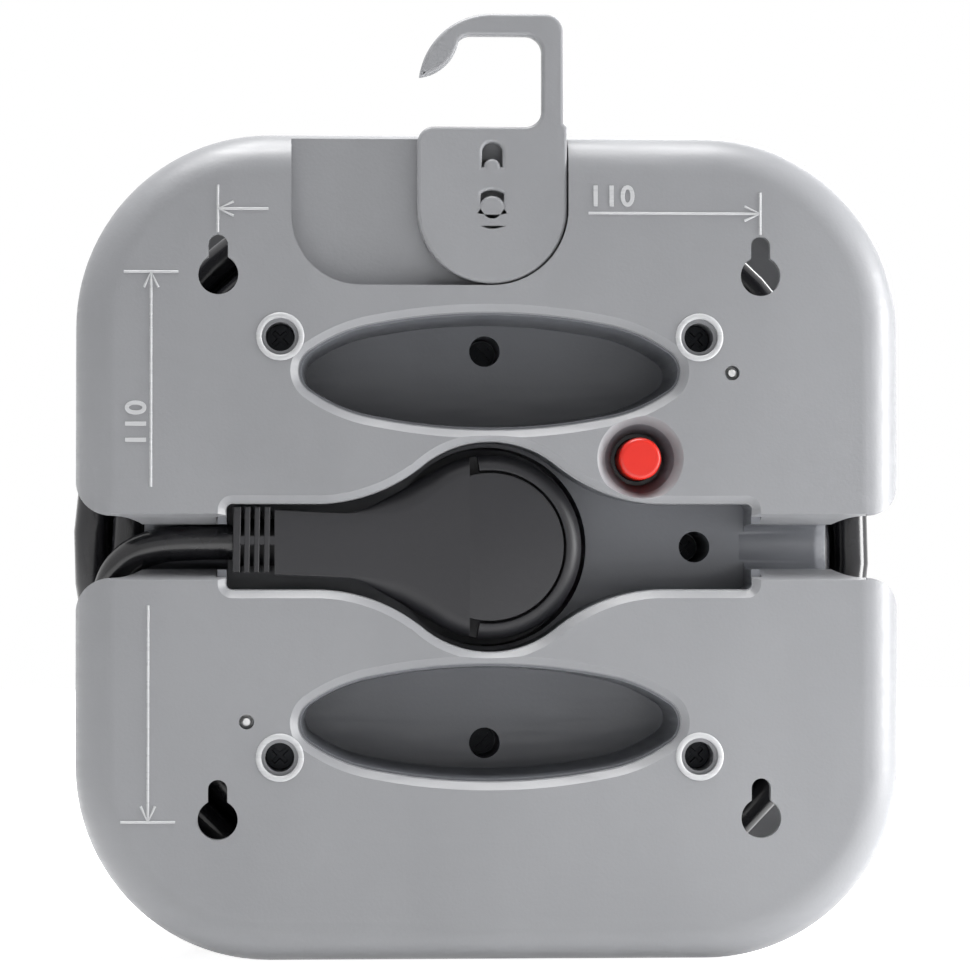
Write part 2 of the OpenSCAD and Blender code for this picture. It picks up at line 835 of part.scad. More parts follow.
// Side view of one earth tab: it stands up through the well's floor and bulges inwards
module earth_tab() {
    foot = -frame_d - strip_t / 2;
    polygon([
        [-0.4, foot], [0.4, foot], [0.4, -well_floor_d - 3], [-1, -well_floor_d - 7.5],
        [0.4, -well_floor_d - 12], [-0.4, -well_floor_d - 12], [-1.9, -well_floor_d - 7.5],
        [-0.4, -well_floor_d - 3]
    ]);
}

module shutter(k) {
    color("#c9c6bc") reel() at_socket(k) difference() {
        disc(0, 0, shutter_r, carrier_top + 0.2, carrier_top + 0.2 + shutter_t);
        disc(0, 0, pivot_pin_r + run, 0, reel_t);
        for (s = [-1, 1])
            rotate([0, 0, -shutter_turn])
                disc(s * pin_half, 0, pin_r + 0.6, 0, reel_t);
    }
}

module shutter_1() {
    shutter(0);
}

module shutter_2() {
    shutter(1);
}

module shutter_3() {
    shutter(2);
}

module shutter_4() {
    shutter(3);
}

// Thermal cut-out and its reset button

module thermal_cutout() {
    color("#2e2f33") reel() difference() {
        union() {
            disc(cutout_x, cutout_y, neck_r, neck_d, cutout_body_d + 1);
            translate([cutout_x + cutout_shift[0], cutout_y + cutout_shift[1], -cutout_body_d])
                translate([-cutout_body[0] / 2, -cutout_body[1] / 2, -cutout_body[2]])
                    cube(cutout_body);
        }
        disc(cutout_x, cutout_y, button_r + run, neck_d - over, button_top + button_l + 3);
        disc(cutout_x, cutout_y, 1.5 + run, neck_d, cutout_body_d + 5.5 + button_travel);
    }
}

module reset_button() {
    color("#e8392a") reel() {
        disc(cutout_x, cutout_y, button_r, button_top + 0.6, button_top + button_l);
        cone(cutout_x, cutout_y, button_r - 0.6, button_r, button_top, button_top + 0.6);
        disc(cutout_x, cutout_y, 1.5, button_top + button_l - 1, cutout_body_d + 1.5 + button_travel);
    }
}

// Swivel hook

module hook_outline() {
    bar_in = hook_top - hook_bar;
    arm_x = hook_r - 0.7;
    arm_in = arm_x - hook_bar;
    window_r = 3.4;                         // corners of the opening that hangs on the nail
    corner = 3.8;                           // outer corner between the arm and the bar
    sweep = 14.85;                          // outer round of the tip
    tip_side = 9.1;                         // inner round of the tip
    circle(hook_r);
    difference() {
        translate([-hook_r, 0])
            square([2 * hook_r, hook_plate]);
        translate([-hook_r - 1, hook_plate - window_r])
            square(window_r + 1);
    }
    translate([window_r - hook_r, hook_plate - window_r])
        circle(window_r);

    // Arm and bar
    difference() {
        translate([arm_in - window_r, hook_plate])
            square([hook_bar + window_r, hook_top - corner - hook_plate]);
        translate([arm_in - window_r, hook_plate + window_r])
            square([window_r, bar_in - hook_plate - 2 * window_r]);
        for (y = [hook_plate + window_r, bar_in - window_r])
            translate([arm_in - window_r, y])
                circle(window_r);
    }
    translate([-4.3, bar_in])
        square([arm_x - corner + 4.3, hook_bar]);
    intersection() {
        translate([arm_x - corner, hook_top - corner])
            circle(corner);
        translate([arm_x - corner, hook_top - corner])
            square(corner);
    }

    // Tip, and the bend between it and the bar
    intersection() {
        translate([-0.1, hook_top - sweep])
            circle(sweep);
        union() {
            translate([-15.7, hook_top - 3.8])
                circle(tip_side);
            difference() {
                polygon([
                    [-7.9, bar_in - 2.5], [-4.3, bar_in - 2.5], [-4.3, bar_in], [0, bar_in],
                    [0, hook_top + 1], [-12, hook_top + 1]
                ]);
                translate([-4.3, bar_in - 3.4])
                    circle(3.4);
            }
        }
    }
}

// Arc windows beside the pivot and the arched slot above it
module hook_windows() {
    difference() {
        intersection() {
            circle(3.85);
            square([4.66, 10], center = true);
        }
        circle(stud_r);
    }
    difference() {
        union() {
            translate([0, 11.5])
                circle(2.05);
            translate([-2.05, nub_path])
                square([4.1, 3]);
        }
        translate([0, nub_path])
            circle(1.7);
    }
}

module hook() {
    color(shell_colour) reel() translate([pivot_x, pivot_y, 0]) {
        slab(hook_face, hook_face + hook_t)
            difference() {
                hook_outline();
                hook_windows();
            }
        difference() {
            union() {
                disc(0, 0, stud_r, hook_face + 1, recess_d + shell_t + 2);
                intersection() {
                    disc(0, 0, stud_r + 0.8, recess_d + shell_t + 0.2, recess_d + shell_t + 1.4);
                    box(-2.2, 2.2, -5, 5, 0, 20);
                }
            }
            box(-5, 5, -0.7, 0.7, recess_d, 20);
        }
        disc(0, nub_path, 1.5, hook_face + 1, recess_d + 1);
    }
}

// Pins that place the two rear shells on the core
module locating_pins() {
    color("#d5d6d8") reel()
        for (s = [-1, 1]) {
            disc(s * locate_x, s * locate_y, locate_r, 3, locate_end);
            disc(s * locate_x, s * locate_y, locate_tip_r, 0.5, 3.1);
        }
}

// Screws

// Pan head with a cross slot, its seat at depth seat, going down to depth tip
module screw(seat, tip) {
    difference() {
        union() {
            disc(0, 0, head_r, seat - 2, seat);
            disc(0, 0, shank_r, seat - 1, tip);
        }
        for (turn = [45, 135])
            rotate([0, 0, turn])
                box(-1.9, 1.9, -0.45, 0.45, seat - 3, seat - 0.9);
    }
}

module shell_screws() {
    color(steel_colour) reel()
        four(shell_screw_xy)
            screw(shell_seat_d, disc_bottom - 0.9);
}

// The front screws go in from the cable groove
module front_screws() {
    color(steel_colour) reel()
        four(shell_screw_xy)
            screw(front_seat_d, front_plate_d - 1.4);
}

module core_screws() {
    color(steel_colour) reel()
        core_screw_places()
            screw(core_seat_d, core_seat_d + core_screw_l);
}

module carrier_screw() {
    color(steel_colour) reel()
        screw(centre_plate_d, centre_plate_d + carrier_screw_l);
}

// Cable end inside the drum

module along_tail(from, to, r) {
    rotate([0, 0, tail_angle])
        translate([tail_offset, -from, -tail_d])
            rotate([90, 0, 0])
                cylinder(h = to - from, r = r);
}

module clamp_screw_places() {
    rotate([0, 0, tail_angle])
        for (s = [-1, 1])
            translate([clamp_in + 2.1, s * 2.3, 0])
                children();
}

module cable_tail() {
    color(cable_colour) reel()
        along_tail(tail_start, tail_stop, cable_r);
}

module cable_clamp() {
    color(plug_colour) reel() difference() {
        rotate([0, 0, tail_angle])
            box(clamp_in, clamp_out, -clamp_w / 2, clamp_w / 2, clamp_d, clamp_top);
        along_tail(-clamp_w, clamp_w, cable_r + slip);
        clamp_screw_places()
            disc(0, 0, clamp_screw_r + slip, tail_d - 3, clamp_top + over);
    }
}

module clamp_screws() {
    color(steel_colour) reel()
        clamp_screw_places() {
            disc(0, 0, clamp_screw_r, clamp_top - clamp_screw_l, clamp_top + 0.1);
            disc(0, 0, clamp_screw_r + 0.9, clamp_top, clamp_top + 1.4);
        }
}

// Sweeps

function unit(v) = v / norm(v);
function ring(p, t, r, n) =
    let (side = unit(cross(t, [0, 0, 1])), up = cross(side, t))
    [for (i = [0:n - 1]) p + r * (cos(360 * i / n) * side + sin(360 * i / n) * up)];
function tangent(path, i) =
    unit(path[min(i + 1, len(path) - 1)] - path[max(i - 1, 0)]);
function local(p) = [p[0], p[1], -p[2]];

// Closed tube of n sides and radius r along a path, with flat ends
module tube(path, r, n) {
    count = len(path);
    points = [for (i = [0:count - 1]) each ring(path[i], tangent(path, i), r, n)];
    sides = [
        for (i = [0:count - 2], j = [0:n - 1])
            let (a = i * n + j, b = i * n + (j + 1) % n)
            each [[a, b, a + n], [b, b + n, a + n]]
    ];
    caps = [
        for (j = [1:n - 2])
            each [[0, j + 1, j], [(count - 1) * n, (count - 1) * n + j, (count - 1) * n + j + 1]]
    ];
    polyhedron(points, concat(sides, caps));
}

// Point of the outer layer at angle a
function wind(a) = [
    wind_x + wind_r * cos(a), wind_r * sin(a), -wind_d - wind_pitch * (a - wind_start) / 360
];
function wind_dir(a) = unit(wind(a + 0.5) - wind(a - 0.5));
wind_stop = wind_start + 360 * wind_turns;
wind_path = concat(
    [wind(wind_start) - cable_dia * wind_dir(wind_start)],
    [for (a = [wind_start:ring_step:wind_stop]) wind(a)],
    [wind(wind_stop) + cable_dia * wind_dir(wind_stop)]
);
// Least distance between two turns, less the diameter
wind_gap = min([
    for (i = [0:len(wind_path) - 1], j = [i + 12:len(wind_path) - 1])
        norm(wind_path[i] - wind_path[j])
]) - cable_dia;
echo(wind_gap = wind_gap);

lead_path = concat(
    [for (p = lead_route) local(p)],
    [for (k = [2, 1]) wind(wind_start) - k * cable_dia * wind_dir(wind_start)]
);

module plug_lead() {
    color(cable_colour) reel()
        tube(lead_path, cable_r, lead_sides);
}

module cable_winding() {
    color(cable_colour) reel()
        tube(wind_path, cable_r, wind_sides);
}

// Layers under the outer one, and the stub where the last turn climbs from them
module cable_core() {
    inner = drum_r + fit;
    outer = wind_r * cos(ring_step / 2) - abs(wind_x) - cable_r - fit;
    shoulder = disc_bottom + fit;
    stub_d = -wind(wind_stop)[2];
    color(cable_colour) reel() {
        rotate_extrude()
            polygon([
                [inner, -shoulder], [disc_r - 1.5, -shoulder], [outer, -shoulder - 5],
                [outer, fit - groove_end], [inner, fit - groove_end]
            ]);
        translate([wind_x, 0, 0])
            rotate([0, 0, wind_stop])
                translate([0, cable_dia + 0.1, 0]) {
                    translate([wind_r, 0, -stub_d])
                        rotate([-90, 0, 0])
                            cylinder(h = cable_dia, r = cable_r);
                    box(outer - 2 - abs(wind_x), wind_r, 0, cable_dia, stub_d - 2, stub_d + 2);
                }
    }
}

// Wires inside the drum: live to the thermal cut-out, neutral and earth to their strips,
// and one from the cut-out to the live strip
module internal_wires() {
    wire_r = 1;
    strip_face = carrier_bottom - strip_t;
    level = strip_face - 7;
    ahead = [-sin(tail_angle), cos(tail_angle), 0];
    inward = -[cos(tail_angle), sin(tail_angle), 0];
    end = -tail_offset * inward - tail_start * ahead + [0, 0, tail_d];
    cutout_side = cutout_y + cutout_shift[1] - cutout_body[1] / 2;
    cutout_end = cutout_x + cutout_shift[0] - cutout_body[0] / 2;
    function leaving(k) = [
        for (step = [[0.2, 0], [1.4, 0], [2.4, 1.5], [2.6, 4], [2.6, 8]])
            end + 2.2 * k * inward + step[0] * ahead + [0, 0, step[1]]
    ];
    live = [
        [-34, -29, level - 2.5], [-24, -28, level], [-8, -27, level], [8, -25, level],
        [20, -15, level], [24, -4, level], [26.5, 4, level - 0.5],
        [27.5, cutout_side - 3, level - 1], [27.5, cutout_side - 0.1, level - 1]
    ];
    neutral = [
        [-39, -22, level - 1.5], [-30, -14.5, level + 2], [-27.3, -12.2, level + 4.5],
        [-27.1, -12, strip_face - 0.2]
    ];
    earth = [
        [-41.5, -19, level - 2.5], [-38, -9, level + 1], [-earth_lug_x, -2, level + 5],
        [-earth_lug_x, -0.4, level + 9.5], [-earth_lug_x, 0, frame_d - 0.1]
    ];
    switched = [
        [cutout_end - 0.1, 18, level + 1], [cutout_end - 1.3, 18, level + 1],
        [19, 15.5, level + 2], [17.9, 10, level + 4], [18, 7.2, level + 5.3],
        [18, 7, strip_face - 0.1]
    ];
    color("#6f4e37") reel()
        for (route = [
            concat(leaving(1), live), concat(leaving(0), neutral), concat(leaving(-1), earth),
            switched
        ])
            tube([for (p = route) local(p)], wire_r, 8);
}

// Plug

// Outline of the neck between the cable end and a round of radius r, half being its half-width
module neck_outline(r, half, flare) {
    join_x = sqrt((r + flare) ^ 2 - (half + flare) ^ 2);
    join_y = (half + flare) * r / (r + flare);
    difference() {
        polygon([
            [-ribs_x, half + 0.6], [-join_x, half], [-join_x, join_y], [0, join_y],
            [0, -join_y], [-join_x, -join_y], [-join_x, -half], [-ribs_x, -half - 0.6]
        ]);
        for (s = [-1, 1])
            translate([-join_x, s * (half + flare)])
                circle(flare + blend);
    }
}

module plug_body() {
    color(plug_colour) reel() {
        difference() {
            union() {
                rotate_extrude()
                    polygon([
                        [0, -plug_back], [15.5, -plug_back], [18.1, -plug_back - 2.2],
                        [plug_r, -plug_back - 5], [plug_r, 3 - well_bottom],
                        [plug_r - 0.6, 1 - well_bottom], [0, 1 - well_bottom]
                    ]);
                slab(plug_back, plug_back + 3)
                    neck_outline(15.5, neck_h, 12);
                slab(plug_back + 2.5, pocket_d - fit)
                    neck_outline(plug_r, neck_h + 0.7, 14);
            }
            difference() {
                disc(0, 0, 15.5, 0, plug_back + 1.5);
                disc(0, 0, 15, 0, plug_back + 2);
                box(-20, -4, -20, 20, 0, plug_back + 2);
            }
            for (s = [-1, 1]) {
                box(-4, -1.7, s * 16.6 - 1.7, s * 16.6 + 1.7, 0, plug_back + 3);
                box(s * 16.3 - 1, s * 16.3 + 1, -2, 2, well_bottom - 12, well_bottom);
                disc(0, s * pin_half, pin_r + slip, well_bottom - 8.5, well_bottom);
            }
        }
        // Ribbed strain relief round the cable
        difference() {
            translate([-plug_l, lead_y, -lead_d])
                rotate([0, 90, 0])
                    cylinder(h = plug_l - ribs_x + 0.1, r = cable_r + 1.2);
            box(-plug_l - 1, 0, -9, 9, pocket_d - fit, 20);
        }
        box(-plug_l, -ribs_x + 0.1, lead_y - 0.9, lead_y + 0.9, plug_back + 0.4, lead_d);
        for (k = [0:3])
            box(-plug_l + rib_steps[k], -plug_l + rib_steps[k] + (k == 0 ? 1.9 : 1),
                -neck_h - 1.2, neck_h + 1.2, plug_back + 0.4, pocket_d - 2 * fit);
    }
}

// Face of the plug that the pins stand in
module plug_face() {
    color(plug_colour) reel() difference() {
        disc(0, 0, plug_r - 0.6, well_bottom - 1, well_bottom);
        for (s = [-1, 1]) {
            disc(0, s * pin_half, pin_r + slip, 0, reel_t);
            box(s * 16.3 - 1, s * 16.3 + 1, -2, 2, 0, reel_t);
        }
    }
}

module plug_pins() {
    color("#c8c6c0") reel()
        for (s = [-1, 1]) {
            disc(0, s * pin_half, pin_r, well_bottom - 8, well_bottom + pin_l - 1);
            cone(0, s * pin_half, pin_r, pin_r - 0.8, well_bottom + pin_l - 1, well_bottom + pin_l);
        }
}

// Earth contacts let into the sides of the plug
module plug_earth_bars() {
    color("#c8c6c0") reel()
        for (s = [-1, 1])
            box(s * 16.3 - 0.9, s * 16.3 + 0.9, -1.9, 1.9, well_bottom - 11.6, well_bottom - 0.3);
}

rear_shell_upper();
rear_shell_lower();
rear_core();
front_core();
front_shell();
socket_plate();
contact_carrier();
live_strip();
neutral_strip();
earth_frame();
shutter_1();
shutter_2();
shutter_3();
shutter_4();
thermal_cutout();
reset_button();
hook();
locating_pins();
shell_screws();
front_screws();
core_screws();
carrier_screw();
cable_tail();
cable_clamp();
clamp_screws();
internal_wires();
plug_body();
plug_face();
plug_pins();
plug_earth_bars();
plug_lead();
cable_winding();
cable_core();
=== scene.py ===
# A compact cable reel, built up as it is put together: two dark core halves with the drum,
# about 9 m of black cable wound on it by hand, the contacts and sockets in the front, the
# light grey flanges, a swivel hook on top, and the plug parked in the rear.
import math

import bmesh
import bpy
from mathutils import Matrix, Vector


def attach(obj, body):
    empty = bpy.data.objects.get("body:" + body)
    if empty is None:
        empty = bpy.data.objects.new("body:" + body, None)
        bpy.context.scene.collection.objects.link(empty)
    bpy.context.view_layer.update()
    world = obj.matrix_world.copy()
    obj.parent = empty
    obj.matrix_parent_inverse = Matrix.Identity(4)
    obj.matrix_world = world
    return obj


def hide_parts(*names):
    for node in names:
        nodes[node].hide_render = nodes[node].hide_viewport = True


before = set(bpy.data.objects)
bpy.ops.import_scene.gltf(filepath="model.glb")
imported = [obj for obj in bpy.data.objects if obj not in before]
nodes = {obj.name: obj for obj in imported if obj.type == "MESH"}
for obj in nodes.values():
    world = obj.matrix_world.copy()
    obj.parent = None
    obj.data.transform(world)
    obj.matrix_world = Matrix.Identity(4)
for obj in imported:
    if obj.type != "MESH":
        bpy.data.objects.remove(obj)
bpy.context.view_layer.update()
collection = bpy.context.scene.collection

# Camera: it stands 0.76 m behind the reel, a little to the left of its middle, with a long
# lens. The picture is 971 pixels high, and the lens is given by its focal length in pixels.
PICTURE = 971
FOCAL_PIXELS = 3782
camera_data = bpy.data.cameras.new("camera")
camera_data.sensor_width = 36
camera_data.lens = camera_data.sensor_width * FOCAL_PIXELS / PICTURE
camera_data.clip_start = 0.05
camera = bpy.data.objects.new("camera", camera_data)
collection.objects.link(camera)
camera.location = (-0.0399, -0.806, 0.0827)
aim = Vector((-0.0011, -0.042, 0.0964))
camera.rotation_euler = (aim - camera.location).to_track_quat("-Z", "Y").to_euler()
bpy.context.scene.camera = camera


# Cable: three-core flex of 7.2 mm with a sheath of glossy black PVC. It leaves the drum
# through a slanted hole, lies on it in four layers of five turns, and goes round the lower
# left lobe of the rear flange to its plug, which is parked in the middle.
HALF_DEPTH, CENTRE_HEIGHT = 42, 84  # of the reel, in millimetres


def place(x, y, depth=0.0):
    """A point of the reel's drawing, in millimetres: x to the right and y up from the middle
    of the rear face, and the depth towards the front."""
    return Vector((x / 1000, (depth - HALF_DEPTH) / 1000, (y + CENTRE_HEIGHT) / 1000))


def on_drawing(point):
    """The other way round: where a point lies in the drawing, as x, y and depth."""
    return point.x * 1000, point.z * 1000 - CENTRE_HEIGHT, point.y * 1000 + HALF_DEPTH


def linear(colour):
    """A colour written as sRGB hex, as the linear values that a shader takes."""
    parts = [int(colour[i:i + 2], 16) / 255 for i in (1, 3, 5)]
    return [c / 12.92 if c < 0.04045 else ((c + 0.055) / 1.055) ** 2.4 for c in parts] + [1]


def add(tree, kind, settings=None, **inputs):
    """Adds one node. Settings are its properties; an input takes a value or a socket, and is
    given by its name, or by its number as in i0."""
    made = tree.nodes.new(kind)
    for name, value in (settings or {}).items():
        setattr(made, name, value)
    for name, value in inputs.items():
        key = int(name[1:]) if name[0] == "i" and name[1:].isdigit() else name.replace("_", " ")
        if isinstance(value, bpy.types.NodeSocket):
            tree.links.new(value, made.inputs[key])
        else:
            made.inputs[key].default_value = value
    return made


def finish_of(name):
    """A new material: itself, its empty tree, and the object's own coordinates in it."""
    material = bpy.data.materials.new(name)
    material.use_nodes = True
    material.node_tree.nodes.clear()
    spot = add(material.node_tree, "ShaderNodeTexCoord").outputs["Object"]
    return material, material.node_tree, spot


def ramp(tree, factor, stops):
    made = add(tree, "ShaderNodeValToRGB", Fac=factor)
    while len(made.color_ramp.elements) < len(stops):
        made.color_ramp.elements.new(0.5)
    for element, (position, colour) in zip(made.color_ramp.elements, stops):
        element.position = position
        element.color = linear(colour)
    return made.outputs["Color"]


def close(tree, colour, roughness, normal=None, **rest):
    """Ends a material in one Principled shader."""
    shader = add(tree, "ShaderNodeBsdfPrincipled", Base_Color=colour, Roughness=roughness, **rest)
    if normal is not None:
        tree.links.new(normal, shader.inputs["Normal"])
    add(tree, "ShaderNodeOutputMaterial", Surface=shader.outputs["BSDF"])


def stretched(tree, spot, scale):
    """The coordinates, drawn out along an axis whose scale is small."""
    return add(tree, "ShaderNodeMapping", Vector=spot, Scale=scale).outputs["Vector"]


def dress(piece, *materials):
    piece.data.materials.clear()
    for material in materials:
        piece.data.materials.append(material)
    return piece


CABLE = 7.2
START_ANGLE = 215                   # where the free lead leaves the outer layer
LAYERS = (58.1, 65.3, 72.4, 79.6)   # radii of the cable's centre line
OFF_CENTRE = -2.4                   # how far the outer layer sags to one side
REAR_TURN, FRONT_TURN = 22.6, 61.1  # depths of the first and the last turn of a layer
LEAD = [
    (-52.2, 0.9, 10.5), (-56, 0.9, 10.5), (-60, 0.8, 10.8), (-64, 0.6, 11.4),
    (-67.5, 0.1, 12), (-70.7, -0.9, 12.8), (-73.6, -2.7, 14), (-76, -5.4, 15.4),
    (-77.4, -8.8, 17.1), (-77.9, -12.8, 19), (-78.4, -17.2, 20.6), (-78.7, -21.8, 21.7),
    (-78.3, -26.4, 22.3), (-77.3, -30.7, 22.5),
]
CLIMB = 0.298                       # of a turn, from one layer up to the next
TURNS_PER_LAYER = 5
TOTAL_TURNS = len(LAYERS) * TURNS_PER_LAYER + (len(LAYERS) - 1) * CLIMB
# The drum's hole: how far its line passes from the drum's axis, the angle of that line, the
# cable's reach along it and its depth. It brings the cable on to the drum without a sharp bend.
HOLE_OFFSET, HOLE_LINE, HOLE_REACH, HOLE_DEPTH = 48, 205, 16.9, 23.4
LIFT = 3.6                          # from the hole's edge up to the first layer
LIFT_TURNS, SETTLE_TURNS = 0.0375, 0.3  # of a turn, to rise by it and to reach the rear turn
HOLE_STEP, HOLE_STEPS = 1.8, 5      # along the straight piece in the hole
STEPS_PER_TURN = 48
SMOOTH = 4                          # steps between two given points of a route


def wound_at(turns):
    """The cable's centre after so many turns from the drum's hole, as (x, y, depth)."""
    span = TURNS_PER_LAYER + CLIMB
    layer = min(int(turns / span), len(LAYERS) - 1)
    along = turns - layer * span
    share = min(along / TURNS_PER_LAYER, 1)
    if layer % 2:
        share = 1 - share
    depth = REAR_TURN + (FRONT_TURN - REAR_TURN) * share
    radius = LAYERS[layer]
    if along > TURNS_PER_LAYER:
        radius += (LAYERS[layer + 1] - radius) * (along - TURNS_PER_LAYER) / CLIMB
    radius -= LIFT * max(0, 1 - turns / LIFT_TURNS) ** 2
    depth += (HOLE_DEPTH - REAR_TURN) * max(0, 1 - turns / SETTLE_TURNS) ** 2
    sag = OFF_CENTRE * (radius - LAYERS[0]) / (LAYERS[-1] - LAYERS[0])
    angle = math.radians(START_ANGLE + 360 * (TOTAL_TURNS - turns))
    return Vector((radius * math.cos(angle) + sag, radius * math.sin(angle), depth))


def through(points, steps):
    """A smooth line through points, with so many steps between two of them."""
    line = []
    for i in range(len(points) - 1):
        a, b = Vector(points[max(i - 1, 0)]), Vector(points[i])
        c, d = Vector(points[i + 1]), Vector(points[min(i + 2, len(points) - 1)])
        for k in range(steps):
            t = k / steps
            line.append(0.5 * (2 * b + (c - a) * t + (2 * a - 5 * b + 4 * c - d) * t * t
                               + (3 * b - a - 3 * c + d) * t ** 3))
    return line + [Vector(points[-1])]


def flexible(name, line, diameter):
    """A round curve of that diameter along a line of the drawing."""
    data = bpy.data.curves.new(name, "CURVE")
    data.dimensions = "3D"
    data.bevel_depth = diameter / 2000
    data.bevel_resolution = 5
    data.use_fill_caps = True
    spline = data.splines.new("POLY")
    spline.points.add(len(line) - 1)
    for point, where in zip(spline.points, line):
        point.co = (*place(*where), 1)
    spline.use_smooth = True
    made = bpy.data.objects.new(name, data)
    collection.objects.link(made)
    return made


hole_turn = math.radians(HOLE_LINE)
outwards = Vector((math.cos(hole_turn), math.sin(hole_turn), 0))
along_hole = Vector((math.sin(hole_turn), -math.cos(hole_turn), 0))
cable_line = [outwards * HOLE_OFFSET + along_hole * (HOLE_REACH + HOLE_STEP * k)
              + Vector((0, 0, HOLE_DEPTH)) for k in range(HOLE_STEPS)]
count = int(TOTAL_TURNS * STEPS_PER_TURN)
cable_line += [wound_at(TOTAL_TURNS * k / count) for k in range(count + 1)]
leaving = (cable_line[-1] - cable_line[-2]).normalized()
lead = [cable_line[-1] + leaving * CABLE * k for k in range(3)] + list(reversed(LEAD))
cable_line = cable_line[:-1] + through(lead, SMOOTH)
cable = flexible("cable", cable_line, CABLE)

# Extruded PVC: deep black, with the gloss broken up softly where it has been handled.
pvc, tree, spot = finish_of("glossy black PVC sheath, extruded")
grain = add(tree, "ShaderNodeTexNoise", Vector=spot, Scale=900.0, Detail=2.0)
bump = add(tree, "ShaderNodeBump", Strength=0.1, Distance=0.0001, Height=grain.outputs["Fac"])
smear = add(tree, "ShaderNodeTexNoise", Vector=spot, Scale=60.0, Detail=3.0)
sheen = add(tree, "ShaderNodeMapRange", Value=smear.outputs["Fac"], To_Min=0.15, To_Max=0.28)
tone = ramp(tree, smear.outputs["Fac"], [(0.3, "#19191c"), (0.7, "#222225")])
close(tree, tone, sheen.outputs["Result"], bump.outputs["Normal"], IOR=1.5)
dress(cable, pvc)
dress(nodes["cable_tail"], pvc)
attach(cable, "reel")
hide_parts("plug_lead", "cable_winding", "cable_core")


# Stage: a white floor that keeps the reel's shadow, and a white surround. A tall softbox
# stands close to the right of the rear face, one hangs above, and one lights the front.
def seen_directly(tree):
    """1 for a ray from the camera, or one that a gloss or a clear body sends on, otherwise 0."""
    path = add(tree, "ShaderNodeLightPath")
    seen = path.outputs["Is Camera Ray"]
    for kind in ("Is Glossy Ray", "Is Transmission Ray"):
        seen = add(tree, "ShaderNodeMath", {"operation": "MAXIMUM"}, i0=seen,
                   i1=path.outputs[kind]).outputs[0]
    return seen


floor_mesh = bpy.data.meshes.new("floor")
floor_mesh.from_pydata([(-2, -2, 0), (2, -2, 0), (2, 1.5, 0), (-2, 1.5, 0)], [], [(0, 1, 2, 3)])
floor = bpy.data.objects.new("floor", floor_mesh)
collection.objects.link(floor)
paper, tree, spot = finish_of("white paper sweep")
fibre = add(tree, "ShaderNodeTexNoise", Vector=spot, Scale=700.0, Detail=3.0)
matt = add(tree, "ShaderNodeBsdfDiffuse", Color=ramp(tree, fibre.outputs["Fac"],
                                                     [(0.3, "#ececec"), (0.7, "#f1f1f1")]))
strength = add(tree, "ShaderNodeMapRange", Value=seen_directly(tree), To_Min=0.3, To_Max=0.88)
glow = add(tree, "ShaderNodeEmission", Color=(1, 1, 1, 1), Strength=strength.outputs["Result"])
lit = add(tree, "ShaderNodeAddShader", i0=matt.outputs[0], i1=glow.outputs[0])
add(tree, "ShaderNodeOutputMaterial", Surface=lit.outputs[0])
dress(floor, paper)

world = bpy.data.worlds.new("white studio")
world.use_nodes = True
tree = world.node_tree
tree.nodes.clear()
surround = add(tree, "ShaderNodeBackground", Color=(1, 1, 1, 1), Strength=0.08)
white = add(tree, "ShaderNodeBackground", Color=(1, 1, 1, 1), Strength=1.0)
both = add(tree, "ShaderNodeMixShader", Fac=seen_directly(tree), i1=surround.outputs[0],
           i2=white.outputs[0])
add(tree, "ShaderNodeOutputWorld", Surface=both.outputs[0])
bpy.context.scene.world = world
bpy.context.scene.view_settings.view_transform = "Standard"

LIT = Vector((0, -0.04, 0.085))     # what the lamps are turned to


def softbox(name, where, width, height, power):
    data = bpy.data.lights.new(name, "AREA")
    data.shape = "RECTANGLE"
    data.size = width
    data.size_y = height
    data.energy = power
    made = bpy.data.objects.new(name, data)
    made.location = where
    made.rotation_euler = (LIT - made.location).to_track_quat("-Z", "Y").to_euler()
    collection.objects.link(made)


softbox("softbox right", (0.42, -0.09, 0.12), 0.16, 0.3, 2.9)
softbox("softbox above", (-0.1, -0.1, 1.0), 0.6, 0.6, 17)
softbox("softbox front", (0.5, 1.1, 0.7), 0.8, 0.8, 16)


# Core: two halves moulded in dark grey ABS. The rear half carries the drum, the dishes of
# the grips and the plug's pocket, the front half closes the drum; four screws hold both.
WELD, SLIVER = 1.5e-5, 1e-5         # points and edges nearer than this are one
FLAT, SHARP_EDGE = math.radians(0.4), math.radians(38)
NARROW = 0.25                       # weight of a usual edge; a wide one has 1


def softened(node, width, slot_of=None, wide=None):
    """A copy of a CAD node with its sharp edges rounded. Its faces take the slot that
    slot_of() says of their middle and normal, or slot 0, and the rounds take slot 1 where it
    isn't 2. Where wide() accepts an edge's middle, the edge is rounded four times as much."""
    mesh = nodes[node].data.copy()
    if "custom_normal" in mesh.attributes:
        mesh.attributes.remove(mesh.attributes["custom_normal"])
    work = bmesh.new()
    work.from_mesh(mesh)
    bmesh.ops.remove_doubles(work, verts=work.verts, dist=WELD)
    bmesh.ops.dissolve_degenerate(work, dist=SLIVER, edges=work.edges)
    bmesh.ops.dissolve_limit(work, angle_limit=FLAT, verts=work.verts, edges=work.edges)
    for face in work.faces:
        face.smooth = True
        face.material_index = slot_of(face.calc_center_median(), face.normal) if slot_of else 0
    weight = work.edges.layers.float.new("bevel_weight_edge")
    for edge in work.edges:
        if len(edge.link_faces) == 2 and edge.calc_face_angle(0) > SHARP_EDGE:
            middle = (edge.verts[0].co + edge.verts[1].co) / 2
            edge[weight] = 1.0 if wide and wide(middle) else NARROW
    work.to_mesh(mesh)
    work.free()
    piece = bpy.data.objects.new(node + "_skin", mesh)
    collection.objects.link(piece)
    round_off_edges(piece, width / NARROW)
    for face in piece.data.polygons:
        if slot_of and slot_of(face.center, face.normal) == 2:
            face.material_index = 2
    return piece


